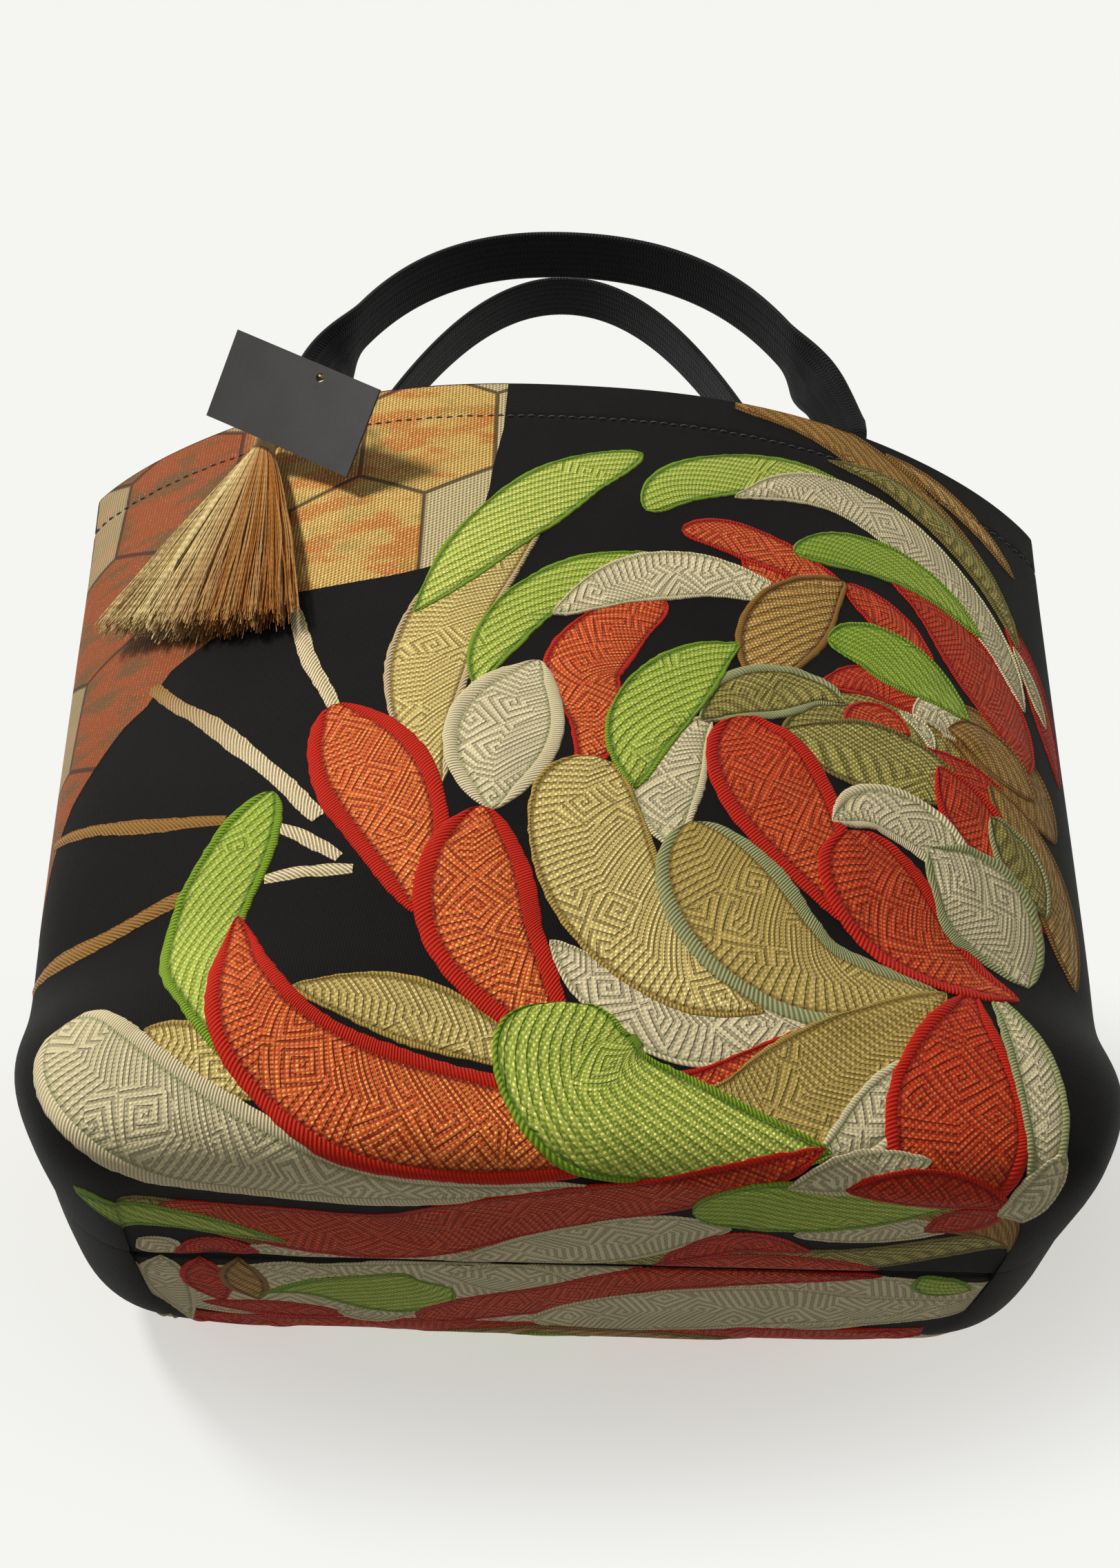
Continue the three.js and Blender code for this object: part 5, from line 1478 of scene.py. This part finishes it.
class TOTE_OT_cloth(ToteOperator, bpy.types.Operator):
    """Makes the front and the back in satin ground, each one closed sheet with a rounded hem"""
    bl_idname = "tote.cloth"
    bl_label = "Cloth"

    def execute(self, context):
        finish = ground_finish(context.scene.tote_cloth)
        for name, side in SIDES.items():
            points, faces, uv = layer_sheet(side, 0.0, CLOTH, 0.0, CLOTH, TOP, hem_rise=0.9)
            sheet = make_piece(f"{name}_cloth", points, faces, finish, uv, None, 70)
            settle(sheet, "bag", [f"{name}_panel"])
        return {"FINISHED"}


def layer_sheet(side, outer_depth, inner_depth, outer_floor, inner_floor, top, bottom=0.0, hem_rise=0.0):
    """One layer of a half of the bag between two depths, following the cloth's waves."""
    panel = panel_map(side)
    columns = np.sin(np.pi / 2 * np.linspace(-1, 1, 181))
    stretches = ((0, 3, 7), (5, FLAT - 2, 14), (FLAT, FLAT + BEND, 16),
                 (FLAT + BEND + 2, STITCH_ROW - 5, 90), (STITCH_ROW - 4, TOP, 42))
    rows = np.concatenate([np.linspace(*stretch) for stretch in stretches])
    rows = rows[(rows >= bottom) & (rows < top - 0.2)]
    rows = np.concatenate([[bottom], rows[rows > bottom + 0.2], [top]]) if bottom else np.append(rows, top)
    face = surface(side, columns[None, :], rows[:, None])
    run = run_across(face)
    level = np.broadcast_to(rows[:, None], run.shape)
    wave = panel.normal(run, level) * ripple(side, run, level, panel.half_at(level))[..., None]
    outer = surface(side, columns[None, :], rows[:, None], outer_depth, outer_floor) + wave
    inner = surface(side, columns[None, :], rows[:, None], inner_depth, inner_floor) + wave
    if side > 0:
        outer, inner, run = outer[:, ::-1], inner[:, ::-1], run[:, ::-1]
    return closed_sheet(outer, inner, np.stack([run, level], -1), hem_rise)


class TOTE_OT_figures(ToteOperator, bpy.types.Operator):
    """Lays the petals, stems and tortoiseshell patch on both panels, each over those below it"""
    bl_idname = "tote.figures"
    bl_label = "Figures"

    def execute(self, context):
        cloth = context.scene.tote_cloth
        crown, rise = cloth.crown * 1000, cloth.edge_rise * 1000
        groups = {name: Gathered() for name in (
            *KINDS, *(f"{kind}_edge" for kind in KINDS), "pale_edge", "stems", "patch")}
        seed = 0
        for name, side in SIDES.items():
            relief = Relief(panel_map(side))
            mirror = -side
            lay_patch(relief, groups["patch"])
            for spine, width, painted_light in STEMS:
                seed += 1
                line = [(p * mirror, s) for p, s in spine]
                lay_petal(relief, groups["stems"], groups["stems"], line, width, ends=(0.2, 0.8), rim=0.5,
                          crown=0.9, edge_rise=0.1, tint=painted_light, seed=seed)
            base = FRONT_BASE if side < 0 else REAR_BASE
            laid = [(kind, [(p * mirror, s) for p, s in spine], width, extra, 1.0)
                    for kind, spine, width, extra in PETALS]
            for kind, spine, width, extra, raised in [*laid, *((*figure, BASE_RAISED) for figure in base)]:
                seed += 1
                extra = dict(extra)
                edge = extra.pop("edge", f"{kind}_edge")
                corded = raised if extra.get("rim", 1) > 1.5 else raised * 0.6
                lay_petal(relief, groups[kind], groups[edge], spine, width, crown=crown * raised,
                          edge_rise=rise * corded, seed=seed, **extra)
        for kind, look in KINDS.items():
            shade = tuple(getattr(cloth, kind))
            finish = petal_finish(f"{kind}_figure_weave", shade, look, cloth)
            self.finish_group(f"{kind}_petals", groups[kind], finish)
            shade = tuple(cloth.red_edge) if kind == "red" else shade
            finish = edge_finish(f"{kind}_floss", shade)
            self.finish_group(f"{kind}_petal_edges", groups[f"{kind}_edge"], finish)
        pale = edge_finish("pale_floss", tuple(cloth.pale_edge))
        self.finish_group("pale_petal_edges", groups["pale_edge"], pale)
        self.finish_group("gold_stems", groups["stems"], stem_finish(cloth))
        self.finish_group("tortoiseshell_patch", groups["patch"], hexagon_finish(cloth))
        return {"FINISHED"}

    def finish_group(self, name, gathered, finish):
        if not gathered.count:
            raise RuntimeError(f"{name} has nothing in it")
        points, faces, uv, tint = gathered.arrays()
        margin = np.concatenate(gathered.margin)
        settle(make_piece(name, points, faces, finish, uv, tint, 75, margin), "bag")


class TOTE_OT_lining(ToteOperator, bpy.types.Operator):
    """Makes the lining and the facing inside the mouth"""
    bl_idname = "tote.lining"
    bl_label = "Lining"

    def execute(self, context):
        finish = lining_finish(context.scene.tote_trim)
        depth = CLOTH + LAY
        floor = CLOTH + LAY + BOARD + LAY
        for name, side in SIDES.items():
            points, faces, uv = layer_sheet(
                side, depth, depth + LINING, floor, floor + LINING, TOP - HEM - LAY)
            settle(make_piece(f"{name}_lining_cloth", points, faces, finish, uv, None, 70), "bag",
                   [f"{name}_lining"])
            points, faces, uv = layer_sheet(
                side, depth, depth + FACING, 0, 0, TOP - 0.4, TOP - HEM, hem_rise=0.5)
            settle(make_piece(f"{name}_facing_cloth", points, faces, finish, uv, None, 70), "bag",
                   [f"{name}_facing"])
        return {"FINISHED"}


class TOTE_OT_webbing(ToteOperator, bpy.types.Operator):
    """Makes each handle as one strap of webbing that bends at its roots"""
    bl_idname = "tote.webbing"
    bl_label = "Webbing"

    def execute(self, context):
        finish = webbing_finish(context.scene.tote_trim)
        for name, side in SIDES.items():
            points, faces, uv, tint = strap_mesh(name)
            strap = make_piece(f"{name}_webbing", points, faces, finish, uv, tint, 50)
            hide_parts(f"{name}_handle", f"{name}_handle_left_end", f"{name}_handle_right_end")
            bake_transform(strap)
        return {"FINISHED"}


class TOTE_OT_stitching(ToteOperator, bpy.types.Operator):
    """Sews the hem and the ends of the webbing"""
    bl_idname = "tote.stitching"
    bl_label = "Stitching"

    def execute(self, context):
        trim = context.scene.tote_trim
        length, gap = trim.stitch_length * 1000, trim.stitch_gap * 1000
        finish = thread_finish(trim)
        gathered = Gathered()
        for side in SIDES.values():
            panel = panel_map(side)
            half = float(panel.half_at(STITCH_ROW)) - 2
            starts = np.arange(-half, half - length, length + gap)
            t = np.linspace(0, 1, 7)
            p = starts[:, None] + t[None, :] * length
            lift = -0.3 + 0.75 * np.sin(np.pi * t) ** 0.5
            centres = panel.place(p, np.full(p.shape, STITCH_ROW), np.broadcast_to(lift, p.shape))
            add_tubes(gathered, centres, np.full(p.shape, 0.24), 6)
        for name, side in SIDES.items():
            for hand in (-1, 1):
                self.sew_end(gathered, side, hand, length, gap)
        points, faces, uv, tint = gathered.arrays()
        settle(make_piece("sewing", points, faces, finish, uv, tint, 60), "bag")
        return {"FINISHED"}

    def sew_end(self, gathered, side, hand, length, gap):
        """A box with a cross in it through the strap's sewn end, on the inside of the bag."""
        low, high, reach = ROOT_EDGE - SEWN_LENGTH + 3, ROOT_EDGE - 4, WEBBING_WIDTH / 2 - 2.5
        corners = [(-reach, low), (reach, low), (reach, high), (-reach, high), (-reach, low), (reach, high)]
        routes = list(zip(corners, corners[1:])) + [((reach, low), (-reach, high))]
        t = np.linspace(0, 1, 6)
        for start, stop in routes:
            start, stop = np.array(start), np.array(stop)
            whole = np.linalg.norm(stop - start)
            for begin in np.arange(0.4, whole - length, length + gap):
                at = start + (stop - start) * ((begin + t * length) / whole)[:, None]
                rows = []
                for (u, z), lift in zip(at, -0.2 + 0.5 * np.sin(np.pi * t) ** 0.5):
                    y, slope = root_layer(z)
                    rows.append([hand * (ROOT_X + u), side * (y + slope * u - WEBBING / 2 - lift), z])
                add_tubes(gathered, np.array(rows)[None], np.full((1, 6), 0.22), 6)


class TOTE_OT_tassel(ToteOperator, bpy.types.Operator):
    """Makes the tassel: its bound collar and its many threads"""
    bl_idname = "tote.tassel"
    bl_label = "Tassel"

    def execute(self, context):
        tassel = context.scene.tote_tassel
        cream, amber = tuple(tassel.cream), tuple(tassel.amber)
        axes = tassel_axes()
        silk = silk_finish("tassel_silk", cream, amber, 3.0)
        self.collar(axes, silk_finish("bound_silk", cream, amber, 1.2))
        gathered = Gathered()
        self.threads(gathered, axes, tassel)
        points, faces, uv, tint = gathered.arrays()
        skirt = make_piece("tassel_threads", points, faces, silk, uv, tint)
        settle(skirt, "tassel", ["tassel_skirt"])
        return {"FINISHED"}

    def collar(self, axes, finish):
        """A profile turned round the tassel's axis, wound with thread from end to end."""
        head, right, inward, up = axes
        half, waist = COLLAR_LENGTH / 2, COLLAR_RADIUS - 0.5
        heights = np.linspace(-half, half, 90)
        shape = np.interp(heights, [-half, -half + 1.5, -1, 1, half - 2.5, half],
                          [waist, COLLAR_RADIUS, waist, waist, COLLAR_RADIUS, 1.5])
        turns = np.linspace(0, 2 * np.pi, 49)
        wound = 0.16 * np.abs(np.sin(np.pi * (heights[:, None] / 0.7 + turns[None, :] / (2 * np.pi))))
        radius = np.maximum(shape[:, None] - 0.16 + wound, 0.2)
        ring = right * np.cos(turns)[None, :, None] + inward * np.sin(turns)[None, :, None]
        points = head + ring * radius[..., None] + up * heights[:, None, None]
        uv = np.stack(np.broadcast_arrays(heights[:, None] + 8, turns[None, :] / (2 * np.pi)), -1)
        gathered = Gathered()
        gathered.add(points, uv, 0.35)
        top = np.broadcast_to(head + up * half, points[-1].shape)
        gathered.add(np.stack([points[-1], top]), uv[[-1, -1]], 0.35)
        points, faces, uv, tint = gathered.arrays()
        piece = make_piece("bound_collar", points, faces, finish, uv, tint)
        settle(piece, "tassel", ["tassel_collar"])

    def threads(self, gathered, axes, tassel):
        head, right, inward, up = axes
        rng = np.random.default_rng(RNG_SEED)
        count = tassel.threads
        angle = rng.uniform(0, 2 * np.pi, count)
        radius = np.sqrt(rng.uniform(0.02, 1, count))
        place = np.cos(angle) * radius
        t = np.linspace(0, 1, 13)[None, :]
        lock = np.clip(((place + 1) * LOCKS / 2).astype(int), 0, LOCKS - 1)
        lock_middle = (lock + 0.5) * 2 / LOCKS - 1 + rng.normal(0, 0.03, LOCKS)[lock]
        lock_tone, lock_reach = rng.normal(0, 0.1, LOCKS)[lock], rng.uniform(-0.02, 0.02, LOCKS)[lock]
        reach = SKIRT_LENGTH * (rng.uniform(0.94, 1.0, count) + lock_reach - 0.02)[:, None]
        stray = rng.random(count) < 0.03
        reach = np.where(stray[:, None], reach * rng.uniform(1.0, 1.05, count)[:, None], reach)
        wide = (COLLAR_RADIUS + (SKIRT_WIDTH / 2 - COLLAR_RADIUS) * t ** SKIRT_FAN) * 0.97
        deep = COLLAR_RADIUS + (SKIRT_THICKNESS / 2 - COLLAR_RADIUS) * t
        sway = (rng.normal(0, 0.7, (count, 1)) * np.sin(np.pi * t)
                + rng.normal(0, 0.4, (count, 1)) * np.sin(3 * np.pi * t))
        drawn = place[:, None] + (lock_middle - place)[:, None] * 0.5 * np.sin(np.pi * t ** 1.4)
        x = drawn * wide + sway * t
        y = np.sin(angle)[:, None] * radius[:, None] * deep
        z = -COLLAR_LENGTH / 2 + 0.6 - (reach + 0.6) * t * (1 - 0.04 * (x / (SKIRT_WIDTH / 2)) ** 2)
        x = x + stray[:, None] * rng.normal(0, 2.2, (count, 1)) * t ** 2
        x = np.clip(x, -SKIRT_WIDTH / 2, SKIRT_WIDTH / 2)
        y = np.clip(y, -SKIRT_THICKNESS / 2, SKIRT_THICKNESS / 2)
        centres = head + x[..., None] * right + y[..., None] * inward + z[..., None] * up
        tint = np.clip(0.52 + 0.46 * np.tanh(place * 4 + 0.3) + lock_tone + rng.normal(0, 0.13, count), 0, 1)
        thickness = tassel.thickness * 1000 / 2 * rng.uniform(0.8, 1.15, (count, 1)) * (1 - 0.3 * t ** 3)
        add_tubes(gathered, centres, thickness, 4, tint)


class TOTE_OT_small_parts(ToteOperator, bpy.types.Operator):
    """Finishes the hang tag, the magnetic snap and the base board"""
    bl_idname = "tote.small_parts"
    bl_label = "Small parts"

    def execute(self, context):
        trim = context.scene.tote_trim
        plate = plate_finish(trim)
        for node, finish in (("hang_tag", card_finish(trim)), ("magnetic_snap_front", plate),
                             ("magnetic_snap_rear", plate), ("base_board", board_finish(trim))):
            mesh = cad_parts[node].data
            mesh.materials.clear()
            mesh.materials.append(finish)
        return {"FINISHED"}


GROUPS = (("tote_cloth", ClothSettings), ("tote_trim", TrimSettings), ("tote_tassel", TasselSettings),
          ("tote_stage", StageSettings))
STEPS = ("stage", "cords", "cloth", "figures", "lining", "webbing", "stitching", "tassel", "small_parts")


class TOTE_PT_sidebar(bpy.types.Panel):
    """Lists the bag's settings and the operators that build it"""
    bl_label = "Figured cloth tote"
    bl_space_type = "VIEW_3D"
    bl_region_type = "UI"
    bl_category = "Tote"

    def draw(self, context):
        for name, group in GROUPS:
            box = self.layout.box()
            for field in group.__annotations__:
                box.prop(getattr(context.scene, name), field)
        for step in STEPS:
            self.layout.operator(f"tote.{step}")


CLASSES = (ClothSettings, TrimSettings, TasselSettings, StageSettings, TOTE_OT_stage, TOTE_OT_cords,
           TOTE_OT_cloth, TOTE_OT_figures, TOTE_OT_lining, TOTE_OT_webbing, TOTE_OT_stitching,
           TOTE_OT_tassel, TOTE_OT_small_parts, TOTE_PT_sidebar)


def register():
    for cls in CLASSES:
        bpy.utils.register_class(cls)
    for name, group in GROUPS:
        setattr(bpy.types.Scene, name, PointerProperty(type=group))


def unregister():
    for name, _ in GROUPS:
        delattr(bpy.types.Scene, name)
    for cls in reversed(CLASSES):
        bpy.utils.unregister_class(cls)


def main():
    register()
    for step in STEPS:
        getattr(bpy.ops.tote, step)()
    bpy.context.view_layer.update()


if __name__ == "__main__":
    main()
